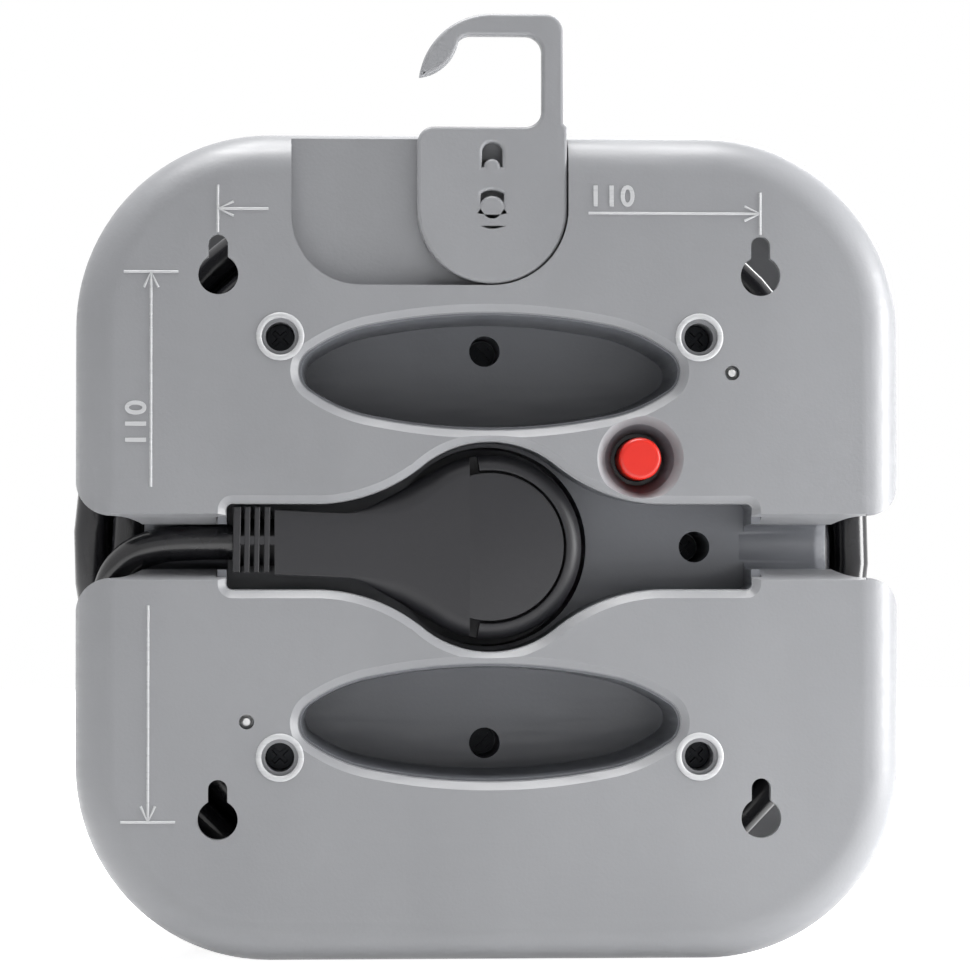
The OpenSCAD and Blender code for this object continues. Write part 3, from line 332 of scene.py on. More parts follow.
def round_off_edges(piece, width):
    """Rounds the piece's edges by their weight, and gives the rounds slot 1."""
    piece.data.materials.clear()
    for _ in range(3):
        piece.data.materials.append(None)
    round_off = piece.modifiers.new("round", "BEVEL")
    round_off.limit_method = "WEIGHT"
    round_off.width = width / 1000
    round_off.segments = 2
    round_off.material = 1
    round_off.use_clamp_overlap = True
    smooth = piece.modifiers.new("smooth", "WEIGHTED_NORMAL")
    smooth.keep_sharp = True
    bpy.context.view_layer.update()
    piece.data = plain_mesh(piece)


def plain_mesh(piece):
    """What the piece's modifiers make of it, as a mesh; the modifiers go."""
    made = bpy.data.meshes.new_from_object(
        piece.evaluated_get(bpy.context.evaluated_depsgraph_get()))
    piece.modifiers.clear()
    return made


def stand_for(piece, node, body):
    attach(piece, body)
    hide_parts(node)


def moulded(name, dark, light, roughness):
    """ABS from the mould: an even fine grain, a faint cloudiness from the flow of the melt,
    and a few hairline scuffs that only show in the gloss."""
    material, tree, spot = finish_of(name)
    flow = add(tree, "ShaderNodeTexNoise", Vector=stretched(tree, spot, (1, 1, 0.45)),
               Scale=26.0, Detail=3.0)
    grain = add(tree, "ShaderNodeTexNoise", Vector=spot, Scale=1500.0, Detail=3.0)
    scuffs = add(tree, "ShaderNodeTexNoise", Vector=stretched(tree, spot, (1, 1, 12)),
                 Scale=55.0, Detail=6.0)
    gloss = add(tree, "ShaderNodeMapRange", Value=scuffs.outputs["Fac"], From_Min=0.42,
                From_Max=0.6, To_Min=roughness - 0.05, To_Max=roughness + 0.05)
    bump = add(tree, "ShaderNodeBump", Strength=0.25, Distance=0.00012,
               Height=grain.outputs["Fac"])
    tone = ramp(tree, flow.outputs["Fac"], [(0.3, dark), (0.7, light)])
    close(tree, tone, gloss.outputs["Result"], bump.outputs["Normal"], IOR=1.5)
    return material


abs_dark = moulded("dark grey ABS, injection moulded, satin", "#5f6166", "#696b70", 0.4)
# A lighter copy of the dark grey ABS for the rounded edges: a painted highlight.
abs_dark_painted_highlight = moulded("dark grey ABS, painted edge highlight", "#696b70", "#737579", 0.34)


# The funnel round the reset button has painted shade and a painted red reflection of the button:
# dark red-brown next to the button, and greyish pink at the rim. The core holds the lower part
# of its wall, the rear flange the rest.
BUTTON = (30.5, 17.9)
BUTTON_RADIUS, FUNNEL = 4.3, 8.8
FUNNEL_FROM, FUNNEL_TO = 0.05, 14   # depths between which its wall lies


def funnel_slot(middle, normal):
    """2 on the funnel's wall, which takes the painted shade and red reflection, otherwise 0,
    whatever the normal.
    """
    x, y, depth = on_drawing(middle)
    near = math.hypot(x - BUTTON[0], y - BUTTON[1]) < FUNNEL + 0.1
    return 2 * int(near and FUNNEL_FROM < depth < FUNNEL_TO)


# Painted shade and a painted red reflection of the button: darkest red-brown at the button,
# greyish pink at the rim.
funnel_painted_shade_and_reflection, tree, spot = finish_of("grey ABS, painted shade and red reflection round the button")
centred = add(tree, "ShaderNodeVectorMath", {"operation": "SUBTRACT"}, i0=spot,
              i1=place(*BUTTON))
flat_spot = add(tree, "ShaderNodeVectorMath", {"operation": "MULTIPLY"},
                i0=centred.outputs["Vector"], i1=(1, 0, 1))
reach = add(tree, "ShaderNodeVectorMath", {"operation": "LENGTH"}, i0=flat_spot.outputs["Vector"])
share = add(tree, "ShaderNodeMapRange", Value=reach.outputs["Value"],
            From_Min=BUTTON_RADIUS / 1000, From_Max=FUNNEL / 1000)
cloud = add(tree, "ShaderNodeTexNoise", Vector=spot, Scale=700.0, Detail=3.0)
bump = add(tree, "ShaderNodeBump", Strength=0.15, Distance=0.0001, Height=cloud.outputs["Fac"])
close(tree, ramp(tree, share.outputs["Result"],
                 [(0.0, "#4a100e"), (0.25, "#2e0f0f"), (0.5, "#412323"), (0.8, "#6a5453"),
                  (1.0, "#988e8e")]),
      0.4, bump.outputs["Normal"], IOR=1.5)

for name in ("rear_core", "front_core"):
    slots = funnel_slot if name == "rear_core" else None
    stand_for(dress(softened(name, 0.35, slot_of=slots), abs_dark, abs_dark_painted_highlight, funnel_painted_shade_and_reflection), name,
              "reel")


# Cable end: inside the drum a black nylon clamp holds the cable's end on the core with two
# screws, and its four wires go on to the cut-out and the contacts: brown for live, blue for
# neutral and green with a yellow stripe for earth.
def speckled(name, dark, light, scale, detail, roughness, raised=0.0, **rest):
    """A plain finish of two near tones in fine specks, which can also be raised a little."""
    material, tree, spot = finish_of(name)
    specks = add(tree, "ShaderNodeTexNoise", Vector=spot, Scale=scale, Detail=detail)
    normal = None
    if raised:
        normal = add(tree, "ShaderNodeBump", Strength=raised, Distance=0.0001,
                     Height=specks.outputs["Fac"]).outputs["Normal"]
    close(tree, ramp(tree, specks.outputs["Fac"], [(0.3, dark), (0.7, light)]), roughness,
          normal, **rest)
    return material


dress(nodes["cable_clamp"], speckled("black nylon, injection moulded", "#2a2a2d", "#333336",
                                     300.0, 3.0, 0.45, raised=0.2, IOR=1.53))

WIRE = 2.0
LANE = 2.2                          # between the middles of two wires at the clamp
CLAMP_END = Vector((-40.544, -26.63, 23.4))
SIDEWAYS = Vector((0.9063, 0.4226, 0))
AHEAD = Vector((0.4226, -0.9063, 0))
LEVEL = 38.5                        # depth at which the live wire crosses the drum
WIRES = {
    "live": (1, [(-34, -29, 36), (-24, -28, LEVEL), (-8, -27, LEVEL), (8, -25, LEVEL),
                 (20, -15, LEVEL), (24, -4, LEVEL), (26.5, 4, 38), (27.5, 8, 37.5),
                 (27.5, 10.9, 37.5)]),
    "neutral": (0, [(-39, -22, 37), (-30, -14.5, 40.5), (-27.3, -12.2, 43),
                    (-27.1, -12, 45.3)]),
    "earth": (-1, [(-41.5, -19, 36), (-38, -9, 39.5), (-33, -2, 43.5), (-33, -0.4, 48),
                   (-33, 0, 62.4)]),
    "switched": (None, [(22.4, 18, 39.5), (21.2, 18, 39.5), (19, 15.5, 40.5),
                        (17.9, 10, 42.5), (18, 7.2, 43.8), (18, 7, 45.4)]),
}


def merged(name, parts):
    """One mesh piece out of several objects, which go. Each keeps its material."""
    work = bmesh.new()
    finishes = []
    for part in parts:
        mesh = plain_mesh(part)
        first = len(work.faces)
        work.from_mesh(mesh)
        work.faces.ensure_lookup_table()
        for face in work.faces[first:]:
            face.material_index = len(finishes)
            face.smooth = True
        finishes.append(mesh.materials[0])
        bpy.data.objects.remove(part)
    bmesh.ops.recalc_face_normals(work, faces=work.faces)
    mesh = bpy.data.meshes.new(name)
    work.to_mesh(mesh)
    work.free()
    made = bpy.data.objects.new(name, mesh)
    collection.objects.link(made)
    return dress(made, *finishes)


green, tree, spot = finish_of("green PVC insulation with a yellow stripe")
wave = add(tree, "ShaderNodeTexWave", {"bands_direction": "DIAGONAL"}, Vector=spot, Scale=70.0)
close(tree, ramp(tree, wave.outputs["Fac"], [(0.62, "#2f7d3c"), (0.66, "#d8c22c")]), 0.35, IOR=1.5)
brown = speckled("brown PVC insulation", "#5a3823", "#64402a", 400.0, 2.0, 0.35, IOR=1.5)
blue = speckled("blue PVC insulation", "#2a5d9c", "#3067a8", 400.0, 2.0, 0.35, IOR=1.5)
sheaths = {"live": brown, "neutral": blue, "earth": green, "switched": brown}
wires = []
for use, (lane, route) in WIRES.items():
    if lane is not None:
        start = CLAMP_END + SIDEWAYS * LANE * lane
        steps = ((0.2, 0), (1.4, 0), (2.4, 1.5), (2.6, 4), (2.6, 8))
        route = [start + AHEAD * ahead + Vector((0, 0, deeper)) for ahead, deeper in steps] + route
    wires.append(dress(flexible("wire " + use, through(route, SMOOTH), WIRE), sheaths[use]))
stand_for(merged("internal_wires_skin", wires), "internal_wires", "reel")


# Screws: steel with a cross recess, blackened where they are seen from behind and otherwise
# zinc plated. Four hold the halves of the core, one the carrier, two the cable clamp, and
# four each flange.
def metal(name, dark, light, roughness, drawn, depth=0.1):
    """Bare or plated metal. drawn gives the direction in which it was rolled or turned."""
    material, tree, spot = finish_of(name)
    streak = add(tree, "ShaderNodeTexNoise", Vector=stretched(tree, spot, drawn), Scale=420.0,
                 Detail=4.0)
    cloud = add(tree, "ShaderNodeTexNoise", Vector=spot, Scale=90.0, Detail=2.0)
    gloss = add(tree, "ShaderNodeMapRange", Value=streak.outputs["Fac"],
                To_Min=roughness - 0.08, To_Max=roughness + 0.08)
    bump = add(tree, "ShaderNodeBump", Strength=depth, Distance=0.0001,
               Height=streak.outputs["Fac"])
    tone = ramp(tree, cloud.outputs["Fac"], [(0.3, dark), (0.7, light)])
    close(tree, tone, gloss.outputs["Result"], bump.outputs["Normal"], Metallic=1.0)
    return material


zinc = metal("steel, zinc plated and blue passivated", "#7f8388", "#8d9095", 0.38, (1, 1, 1))
blackened = metal("steel, blackened", "#1b1c1e", "#262729", 0.4, (1, 1, 1))
for name in ("carrier_screw", "clamp_screws", "front_screws"):
    dress(nodes[name], zinc)
dress(nodes["core_screws"], blackened)


PITCH = 85.0                        # between a flange's screws, across and up
CROSS = 2.2                         # how far the cross recess reaches from their middle
head_top = min(vertex.co.y for vertex in nodes["shell_screws"].data.vertices)


def cross_slot(middle, normal):
    """2 inside the cross recess of a flange's screw, which takes the painted light, otherwise 0,
    whatever the normal.
    """
    x, y, _ = on_drawing(middle)
    reach = math.hypot(abs(x) - PITCH / 2, abs(y) - PITCH / 2)
    return 2 * int(reach < CROSS and head_top + 0.0001 < middle.y < head_top + 0.003)


# The cross recesses of the flange screws are painted light grey: painted light where the recess is
# lit.
cross_painted_light = speckled("steel, painted light in the cross recess", "#8b8e92", "#b4b7ba", 1200.0, 4.0, 0.5,
                Metallic=0.3)
stand_for(dress(softened("shell_screws", 0.08, slot_of=cross_slot), blackened, blackened, cross_painted_light),
          "shell_screws", "reel")


# Contacts: a carrier of off-white PBT holds two stamped brass strips with their spring
# sleeves, one for live and one for neutral. The earth frame is nickel-plated spring steel.
pbt, tree, spot = finish_of("off-white PBT, glass filled, injection moulded")
fibre = add(tree, "ShaderNodeTexNoise", Vector=stretched(tree, spot, (1, 1, 0.3)), Scale=240.0,
            Detail=4.0)
bump = add(tree, "ShaderNodeBump", Strength=0.2, Distance=0.0001, Height=fibre.outputs["Fac"])
close(tree, ramp(tree, fibre.outputs["Fac"], [(0.3, "#cfccc1"), (0.7, "#dcd9cf")]), 0.42,
      bump.outputs["Normal"], IOR=1.55)
dress(nodes["contact_carrier"], pbt)
brass = metal("brass strip, stamped", "#b3914a", "#c6a55c", 0.3, (1, 1, 0.08))
dress(nodes["live_strip"], brass)
dress(nodes["neutral_strip"], brass)
nickel = metal("spring steel, nickel plated", "#a9a69f", "#b9b6af", 0.26, (0.1, 1, 1))
dress(nodes["earth_frame"], nickel)


# Shutters: four round plates of white polycarbonate that keep a child's probes out. A plug
# turns them open, and a spring turns them back.
white_pc, tree, spot = finish_of("white polycarbonate, injection moulded")
cloud = add(tree, "ShaderNodeTexNoise", Vector=spot, Scale=120.0, Detail=3.0)
rub = add(tree, "ShaderNodeTexNoise", Vector=spot, Scale=500.0, Detail=2.0)
gloss = add(tree, "ShaderNodeMapRange", Value=rub.outputs["Fac"], To_Min=0.2, To_Max=0.4)
close(tree, ramp(tree, cloud.outputs["Fac"], [(0.3, "#cbc9c2"), (0.7, "#d6d4ce")]),
      gloss.outputs["Result"], IOR=1.58)
for number in range(1, 5):
    dress(nodes[f"shutter_{number}"], white_pc)


# Socket plate: one dark grey moulding with the four wells that a plug's face goes into. Its
# posts stand on the rear core, and its rim lies under the front flange.
stand_for(dress(softened("socket_plate", 0.3), abs_dark, abs_dark_painted_highlight), "socket_plate",
          "reel")


# Flanges: light grey ABS. The front one is a single square moulding. The rear one is two,
# because the cable's channel runs between them from side to side, and each has bevelled
# openings. Raised rings stand round their screws.
BEVEL = 1.4                         # depth of the bevel round an opening
INSIDE = 75                         # the openings lie within this reach of the middle
LIP_REACH, LIP_FROM, LIP_DEPTH = 9, 52, 1.5


def rear_face_slot(middle, normal):
    """1 for a bevel round an opening, which takes the painted highlight, 2 for the funnel's wall,
    otherwise 0.
    """
    x, y, depth = on_drawing(middle)
    inside = max(abs(x), abs(y)) < INSIDE
    slanted = 0.2 < -normal.y < 0.97
    return funnel_slot(middle, normal) or int(inside and depth < BEVEL and slanted)


def at_channel(middle):
    """Whether an edge belongs to the lips along the cable's channel."""
    x, y, depth = on_drawing(middle)
    return abs(y) < LIP_REACH and abs(x) > LIP_FROM and depth < LIP_DEPTH


abs_light = moulded("light grey ABS, injection moulded, satin", "#808184", "#88898c", 0.42)
# A lighter copy of the light grey ABS for the rounds, bevels, raised rings and marks: a painted
# highlight.
abs_light_painted_highlight = moulded("light grey ABS, painted edge highlight", "#aeafb1", "#b8b9bb", 0.3)

for name in ("rear_shell_upper", "rear_shell_lower", "front_shell"):
    rear = name.startswith("rear")
    skin = softened(name, 0.4, slot_of=rear_face_slot if rear else None,
                    wide=at_channel if rear else None)
    stand_for(dress(skin, abs_light, abs_light_painted_highlight, funnel_painted_shade_and_reflection), name, "reel")

RING = 4.3                          # radius of the raised ring round each screw


def grown(name, mesh, sockets, build, material):
    """The plain mesh piece that a Geometry Nodes tree makes. sockets names its inputs and
    gives their values; build(tree, inputs) returns the geometry's socket."""
    tree = bpy.data.node_groups.new(name, "GeometryNodeTree")
    values = {}
    tree.interface.new_socket("Geometry", in_out="INPUT", socket_type="NodeSocketGeometry")
    for label, value in sockets.items():
        socket = tree.interface.new_socket(label, in_out="INPUT", socket_type="NodeSocketFloat")
        values[socket.identifier] = value
    tree.interface.new_socket("Geometry", in_out="OUTPUT", socket_type="NodeSocketGeometry")
    shape = build(tree, add(tree, "NodeGroupInput").outputs)
    real = add(tree, "GeometryNodeRealizeInstances", Geometry=shape)
    done = add(tree, "GeometryNodeSetMaterial", Geometry=real.outputs[0], Material=material)
    add(tree, "NodeGroupOutput", i0=done.outputs[0])
    piece = bpy.data.objects.new(name, mesh)
    collection.objects.link(piece)
    modifier = piece.modifiers.new(name, "NODES")
    modifier.node_group = tree
    for identifier, value in values.items():
        modifier[identifier] = value
    bpy.context.view_layer.update()
    piece.data = plain_mesh(piece)
    for polygon in piece.data.polygons:
        polygon.use_smooth = True
    return piece


def bead(tree, line, inputs):
    """A bead of the inputs' width and height along a line, on the rear face."""
    half = add(tree, "ShaderNodeMath", {"operation": "MULTIPLY"}, i0=inputs["Width"], i1=0.5)
    profile = add(tree, "GeometryNodeCurvePrimitiveCircle", Resolution=10, Radius=half.outputs[0])
    tube = add(tree, "GeometryNodeCurveToMesh", Curve=line, Profile_Curve=profile.outputs["Curve"],
               Fill_Caps=True)
    squeeze = add(tree, "ShaderNodeMath", {"operation": "DIVIDE"}, i0=inputs["Height"],
                  i1=half.outputs[0])
    scale = add(tree, "ShaderNodeCombineXYZ", X=1.0, Y=squeeze.outputs[0], Z=1.0)
    return add(tree, "GeometryNodeTransform", Geometry=tube.outputs["Mesh"],
               Scale=scale.outputs["Vector"]).outputs["Geometry"]


def ring_tree(tree, inputs):
    corners = add(tree, "GeometryNodeMeshGrid", Size_X=inputs["Pitch"], Size_Y=inputs["Pitch"],
                  Vertices_X=2, Vertices_Y=2)
    circle = add(tree, "GeometryNodeCurvePrimitiveCircle", Resolution=48, Radius=inputs["Radius"])
    stood = add(tree, "GeometryNodeTransform", Geometry=circle.outputs["Curve"],
                Rotation=(math.pi / 2, 0, 0))
    places = add(tree, "GeometryNodeTransform", Geometry=corners.outputs["Mesh"],
                 Rotation=(math.pi / 2, 0, 0), Translation=tuple(place(0, 0)))
    return add(tree, "GeometryNodeInstanceOnPoints", Points=places.outputs["Geometry"],
               Instance=bead(tree, stood.outputs["Geometry"], inputs)).outputs["Instances"]


# The raised rings, and the marks and figures below, take the painted highlight too.
rings = grown("screw_rings", bpy.data.meshes.new("screw_rings"),
              {"Pitch": PITCH / 1000, "Radius": RING / 1000, "Width": 0.00115, "Height": 0.0003},
              ring_tree, abs_light_painted_highlight)
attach(rings, "reel")

# Raised marks that give the spacing of the keyholes for drilling: for each arrow where its
# line starts, where its tip is, and half the length of the stop line that it points at.
ARROWS = [((19.9, 67.7), (54.9, 67.7), 4.3), ((-44.9, 68.3), (-55.1, 68.3), 4.8),
          ((-68.5, 12.1), (-68.5, 55.5), 5.5), ((-69, -11.8), (-69, -55.4), 5.5)]
BARB, SPREAD = 3.2, 0.45            # length of a barb, and its slope
corners, edges = [], []


def stroke(*points):
    first = len(corners)
    corners.extend(Vector((x / 1000, 0, y / 1000)) for x, y in points)
    edges.extend((first + k, first + k + 1) for k in range(len(points) - 1))


for start, tip, stop in ARROWS:
    start, tip = Vector(start), Vector(tip)
    ahead = (tip - start).normalized()
    aside = Vector((-ahead.y, ahead.x))
    stroke(start, tip)
    stroke(tip - BARB * (ahead - SPREAD * aside), tip, tip - BARB * (ahead + SPREAD * aside))
    stroke(tip - stop * aside, tip + stop * aside)
outline = bpy.data.meshes.new("drilling_marks")
outline.from_pydata(corners, edges, [])


def mark_tree(tree, inputs):
    line = add(tree, "GeometryNodeMeshToCurve", Mesh=inputs["Geometry"])
    on_face = bead(tree, line.outputs["Curve"], inputs)
    return add(tree, "GeometryNodeTransform", Geometry=on_face,
               Translation=tuple(place(0, 0))).outputs["Geometry"]


marks = grown("drilling_marks", outline, {"Width": 0.00055, "Height": 0.0002}, mark_tree, abs_light_painted_highlight)
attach(marks, "reel")

for name, where, turn in (("spacing_across", (19.9, 69.2), 0), ("spacing_up", (-69.6, 20.1), 90)):
    words = bpy.data.curves.new(name, "FONT")
    words.body = "110"
    words.size = 0.0058
    words.space_character = 1.12
    words.extrude = 0.00012
    words.offset = 0.00008
    words.bevel_depth = 0.00006
    figures = bpy.data.objects.new(name, words)
    collection.objects.link(figures)
    bpy.context.view_layer.update()
    figures_mesh = plain_mesh(figures)
    bpy.data.objects.remove(figures)
    figures_mesh.transform(Matrix.Translation(place(*where))
                           @ Matrix.Rotation(math.radians(-turn), 4, "Y")
                           @ Matrix.Rotation(math.pi / 2, 4, "X"))
    figures = dress(bpy.data.objects.new(name, figures_mesh), abs_light_painted_highlight)
    collection.objects.link(figures)
    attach(figures, "reel")


# Locating pins: two pins of natural polyamide that stand through the core and place the two
# rear mouldings on it. Their thin ends show in the rear face.
dress(nodes["locating_pins"], speckled("natural polyamide, satin", "#d2d3d4", "#e0e0df", 350.0,
                                       3.0, 0.4, IOR=1.53))


# Hook: light grey ABS, turned on its split stud in the upper flange. Two nubs click into
# the recess, folded or upright.
PIVOT = (0.4, 68.5)
PLATE_BACK, PLATE_THICK = 0.2, 4.0  # depth of its outer face, and its thickness
SOFT = 0.7                          # radius of its rounded edges
STUD_FROM = PLATE_BACK + PLATE_THICK + 0.05
CREASE = math.radians(35)           # edges sharper than this stay sharp in the shading


def around(x, y, radius, first, last):
    """Points of an arc, from one angle to another in degrees."""
    steps = max(2, math.ceil(abs(last - first) / 5))
    turns = [math.radians(first + (last - first) * k / steps) for k in range(steps + 1)]
    return [(x + radius * math.cos(turn), y + radius * math.sin(turn)) for turn in turns]


# The outline goes from the round end up the right side to the bar, along it to the tip, back
# on the inside, and round the opening that hangs on the nail. Then come its three windows.
OUTLINES = [
    around(0, 0, 15.2, 180, 360) + [(15.2, 16.7), (14.5, 17.4)] + around(10.7, 35.9, 3.8, 0, 90)
    + around(-0.1, 24.85, 14.85, 90, 172) + around(-15.7, 35.9, 9.1, -84, -10)
    + around(-4.3, 31.9, 3.4, 135, 90) + around(6.7, 31.9, 3.4, 90, 0)
    + around(6.7, 20.1, 3.4, 0, -90) + around(-11.8, 13.3, 3.4, 90, 180),
    around(0, 0, 3.85, 53, 127) + around(0, 0, 2.7, 149, 31),
    around(0, 0, 3.85, -53, -127) + around(0, 0, 2.7, -149, -31),
    around(0, 11.5, 2.05, 0, 180) + [(-2.05, 8.5)] + around(0, 8.5, 1.7, 180, 0) + [(2.05, 8.5)],
]
outline = bpy.data.curves.new("hook_plate", "CURVE")
outline.dimensions = "2D"
outline.fill_mode = "BOTH"
outline.extrude = (PLATE_THICK / 2 - SOFT) / 1000
outline.bevel_depth = SOFT / 1000
outline.bevel_resolution = 3
outline.offset = -SOFT / 1000
for loop in OUTLINES:
    spline = outline.splines.new("POLY")
    spline.points.add(len(loop) - 1)
    for point, (x, y) in zip(spline.points, loop):
        point.co = (x / 1000, y / 1000, 0, 1)
    spline.use_cyclic_u = True
plate = bpy.data.objects.new("hook_plate", outline)
collection.objects.link(plate)
bpy.context.view_layer.update()
plate_mesh = plain_mesh(plate)
bpy.data.objects.remove(plate)
plate_mesh.transform(Matrix.Translation(place(*PIVOT, PLATE_BACK + PLATE_THICK / 2))
                     @ Matrix.Rotation(math.pi / 2, 4, "X"))
plate = dress(bpy.data.objects.new("hook_plate", plate_mesh), abs_light)
collection.objects.link(plate)

stud = dress(softened("hook", 0.3), abs_light)
work = bmesh.new()
work.from_mesh(stud.data)
bmesh.ops.delete(work, context="FACES", geom=[
    face for face in work.faces if on_drawing(face.calc_center_median())[2] < STUD_FROM])
work.to_mesh(stud.data)
work.free()
hook = merged("hook_skin", [plate, stud])
hook.data.set_sharp_from_angle(angle=CREASE)
stand_for(hook, "hook", "hook")


# Thermal cut-out: a black phenolic case inside the core. Its glossy red button stands in
# the funnel and comes out when the reel has grown too warm.
phenolic, tree, spot = finish_of("black phenolic, compression moulded")
fleck = add(tree, "ShaderNodeTexVoronoi", Vector=spot, Scale=1400.0)
gloss = add(tree, "ShaderNodeMapRange", Value=fleck.outputs["Distance"], To_Min=0.3, To_Max=0.5)
close(tree, ramp(tree, fleck.outputs["Distance"], [(0.2, "#29292c"), (0.8, "#323235")]),
      gloss.outputs["Result"], IOR=1.6)
stand_for(dress(softened("thermal_cutout", 0.2, slot_of=funnel_slot), phenolic, phenolic, funnel_painted_shade_and_reflection),
          "thermal_cutout", "reel")

red, tree, spot = finish_of("red ABS, glossy")
cloud = add(tree, "ShaderNodeTexNoise", Vector=spot, Scale=80.0, Detail=2.0)
rub = add(tree, "ShaderNodeTexNoise", Vector=spot, Scale=900.0, Detail=3.0)
gloss = add(tree, "ShaderNodeMapRange", Value=rub.outputs["Fac"], To_Min=0.25, To_Max=0.42)
close(tree, ramp(tree, cloud.outputs["Fac"], [(0.3, "#c81c0e"), (0.7, "#d02310")]),
      gloss.outputs["Result"], IOR=1.5)
# A lighter copy of the red for the button's rounded edges: a painted highlight.
red_painted_highlight = speckled("red ABS, painted edge highlight", "#d8382a", "#e04636", 500.0, 2.0, 0.35, IOR=1.5)
stand_for(dress(softened("reset_button", 0.35), red, red_painted_highlight), "reset_button", "reset_button")


# Plug: an earthed plug whose cable leaves at a right angle, overmoulded in one piece with a
# ribbed strain relief from black soft PVC. The pins and the side contacts are nickel plated.
soft_pvc, tree, spot = finish_of("black soft PVC, overmoulded, fine matt")
grain = add(tree, "ShaderNodeTexNoise", Vector=spot, Scale=1300.0, Detail=4.0)
bump = add(tree, "ShaderNodeBump", Strength=0.3, Distance=0.00015, Height=grain.outputs["Fac"])
flow = add(tree, "ShaderNodeTexNoise", Vector=spot, Scale=22.0, Detail=3.0)
gloss = add(tree, "ShaderNodeMapRange", Value=flow.outputs["Fac"], To_Min=0.44, To_Max=0.56)
close(tree, ramp(tree, flow.outputs["Fac"], [(0.3, "#1d1d20"), (0.7, "#232326")]),
      gloss.outputs["Result"], bump.outputs["Normal"], Specular_IOR_Level=0.35)
# A lighter copy of the black soft PVC for the rims, shoulders and rib tops: a painted highlight.
soft_pvc_painted_highlight = speckled("black soft PVC, painted edge highlight", "#4c4c50", "#58585c", 300.0, 3.0, 0.42,
                         IOR=1.5)

BACK = 1.7                          # depth of the plug's flat back
NOTCH = -4.1                        # where the back's left part ends and its ring starts
# Along the left part: x, half the width of the flat back and of the foot, and how far the
# rounded shoulder between them falls.
SHOULDER = [
    (-43.6, 6.31, 6.56, 0.25), (-36, 6.31, 6.56, 0.25), (-31, 6.31, 6.56, 0.25),
    (-28, 6.31, 6.7, 0.4), (-24.6, 6.35, 7.9, 1.7), (-21.4, 6.4, 9.6, 3), (-18.2, 6.7, 11.3, 4),
    (-15.2, 7.7, 13.1, 4.6), (-12.2, 9.7, 14.8, 4.9), (-9.2, 12, 16.6, 5),
    (-6.1, 13.8, 17.9, 5), (NOTCH, 14.75, 18.45, 5),
]
FOOT = 15.2                         # depth of the left part's foot
NECK_ROWS = 15                      # of the left part's rows, those whose shoulders take the painted highlight
# The neck leans up to meet the cable: by how much, from which x, and over what length.
LEAN, LEAN_FROM, LEAN_LENGTH = 0.95, -16.5, 27.1
RING_FROM, RING_TO, FACE = 15.5, 18.9, 27.7
RING_END, RING_SPREAD = -2.0, 0.18  # x of the ring's ends, and how far they splay outwards
RIBS = [(-52.0, -50.5), (-49.75, -48.6), (-47.75, -46.65), (-45.75, -44.6)]
RIB_LOW, RIB_HIGH, SPINE_LOW, SPINE_HIGH = -5.2, 8.1, 0.35, 2.25
RIB_EDGE, RIB_FOOT, RIB_SLANT = 0.16, 14.5, 0.016
SLEEVE = 4.8                        # radius of the sleeve that the ribs stand on


def loft(work, rings, painted_highlight_at=None):
    """Skins closed rings of points one after another, and caps both ends. Its last argument
    tells, for a row and a point, which faces take the painted edge highlight."""
    rows = [[work.verts.new(place(*spot)) for spot in ring] for ring in rings]
    count = len(rows[0])
    for number, (one, other) in enumerate(zip(rows, rows[1:])):
        for k in range(count):
            after = (k + 1) % count
            face = work.faces.new((one[k], one[after], other[after], other[k]))
            face.material_index = int(bool(painted_highlight_at and painted_highlight_at(number, k)))
    work.faces.new(rows[0])
    work.faces.new(list(reversed(rows[-1])))


def block(work, left, right, low, high, top):
    """A rib: a plate that stands on its edge, with a small bevel round its top."""
    rings = []
    for inset, depth in ((RIB_EDGE, top), (0, top + 0.17), (0, RIB_FOOT)):
        box = ((left + inset, low + inset), (right - inset, low + inset),
               (right - inset, high - inset), (left + inset, high - inset))
        rings.append([(x + RIB_SLANT * y, y, depth) for x, y in box])
    loft(work, rings, lambda row, k: row == 0)


def turned(profile, sides=96):
    return [[(r * math.cos(2 * math.pi * k / sides), r * math.sin(2 * math.pi * k / sides), d)
             for k in range(sides)] for r, d in profile]


def arc(radius, end, steps=72):
    """Points of a circle round the plug's middle, from x = end below to x = end above."""
    reach = math.acos(end / radius)
    return [(radius * math.cos(reach * (2 * k / steps - 1)),
             radius * math.sin(reach * (2 * k / steps - 1))) for k in range(steps + 1)]


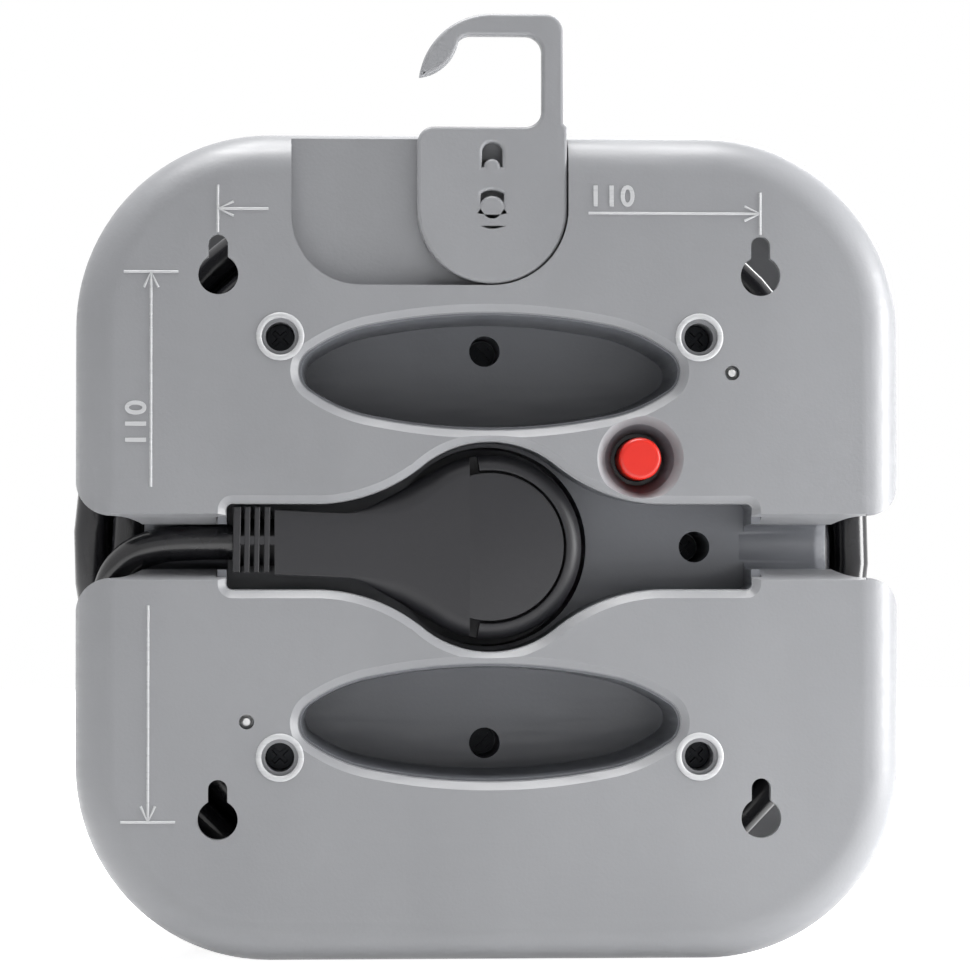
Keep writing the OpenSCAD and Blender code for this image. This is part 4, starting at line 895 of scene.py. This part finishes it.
work = bmesh.new()
quarter = [math.pi / 2 * k / 8 for k in range(9)]
left_part = []
for x, flat, foot, fall in through(SHOULDER, 5):
    middle = LEAN * (max(0, LEAN_FROM - x) / LEAN_LENGTH) ** 1.5
    rise = [(flat + (foot - flat) * math.sin(a), BACK + fall * (1 - math.cos(a))) for a in quarter]
    rise = [(foot, FOOT)] + rise[::-1]
    half = rise + [(flat / 3, BACK)]
    loop = [(middle - y, depth) for y, depth in half]
    loop += [(middle + y, depth) for y, depth in half[::-1]]
    left_part.append([(x, y, depth) for y, depth in loop])
loft(work, left_part, lambda row, k: row < NECK_ROWS and (1 <= k < 9 or 12 <= k < 20))
loft(work, [[(*spot, depth) for spot in arc(radius, NOTCH)]
            for radius, depth in ((14.7, BACK), (14.92, 1.78), (15, 2.05), (15, 6.7))],
     lambda row, k: row < 2)
profile = [(RING_FROM, 6.8), (RING_FROM, 2.3), (RING_FROM + 0.15, 2.1)]
profile += [(RING_FROM + 0.3 + 3.1 * math.sin(a), 2.05 + 4.7 * (1 - math.cos(a))) for a in quarter]
profile.append((RING_TO, 6.8))
slices = [arc(r, RING_END - RING_SPREAD * (r - RING_FROM)) for r, depth in profile]
loft(work, [[(*cut[k], depth) for cut, (r, depth) in zip(slices, profile)]
            for k in range(len(slices[0]))])
loft(work, turned([(18.6, 6.5), (RING_TO, 6.9), (RING_TO, 25.7), (18.3, FACE)]))
for left, right in RIBS:
    block(work, left, right, RIB_LOW, RIB_HIGH, BACK + 0.05)
block(work, RIBS[0][1] - 0.2, SHOULDER[0][0] + 0.3, SPINE_LOW, SPINE_HIGH, BACK + 0.12)
lead_y, lead_depth = LEAD[0][1:]
sleeve = [(lead_y + SLEEVE * math.cos(a), lead_depth + SLEEVE * math.sin(a))
          for a in [2 * math.pi * k / 32 for k in range(32)]]
loft(work, [[(x, *point) for point in sleeve]
            for x in (RIBS[0][0] + 0.1, SHOULDER[0][0] + 0.5)])
bmesh.ops.recalc_face_normals(work, faces=work.faces)
for face in work.faces:
    face.smooth = True
mesh = bpy.data.meshes.new("plug_body_skin")
work.to_mesh(mesh)
work.free()
mesh.set_sharp_from_angle(angle=CREASE)
plug = dress(bpy.data.objects.new("plug_body_skin", mesh), soft_pvc, soft_pvc_painted_highlight)
collection.objects.link(plug)
stand_for(plug, "plug_body", "reel")
dress(nodes["plug_face"], soft_pvc)
pin_metal = metal("brass, nickel plated and turned", "#b5b2ab", "#c4c1ba", 0.22, (1, 0.1, 1))
dress(nodes["plug_pins"], pin_metal)
dress(nodes["plug_earth_bars"], pin_metal)
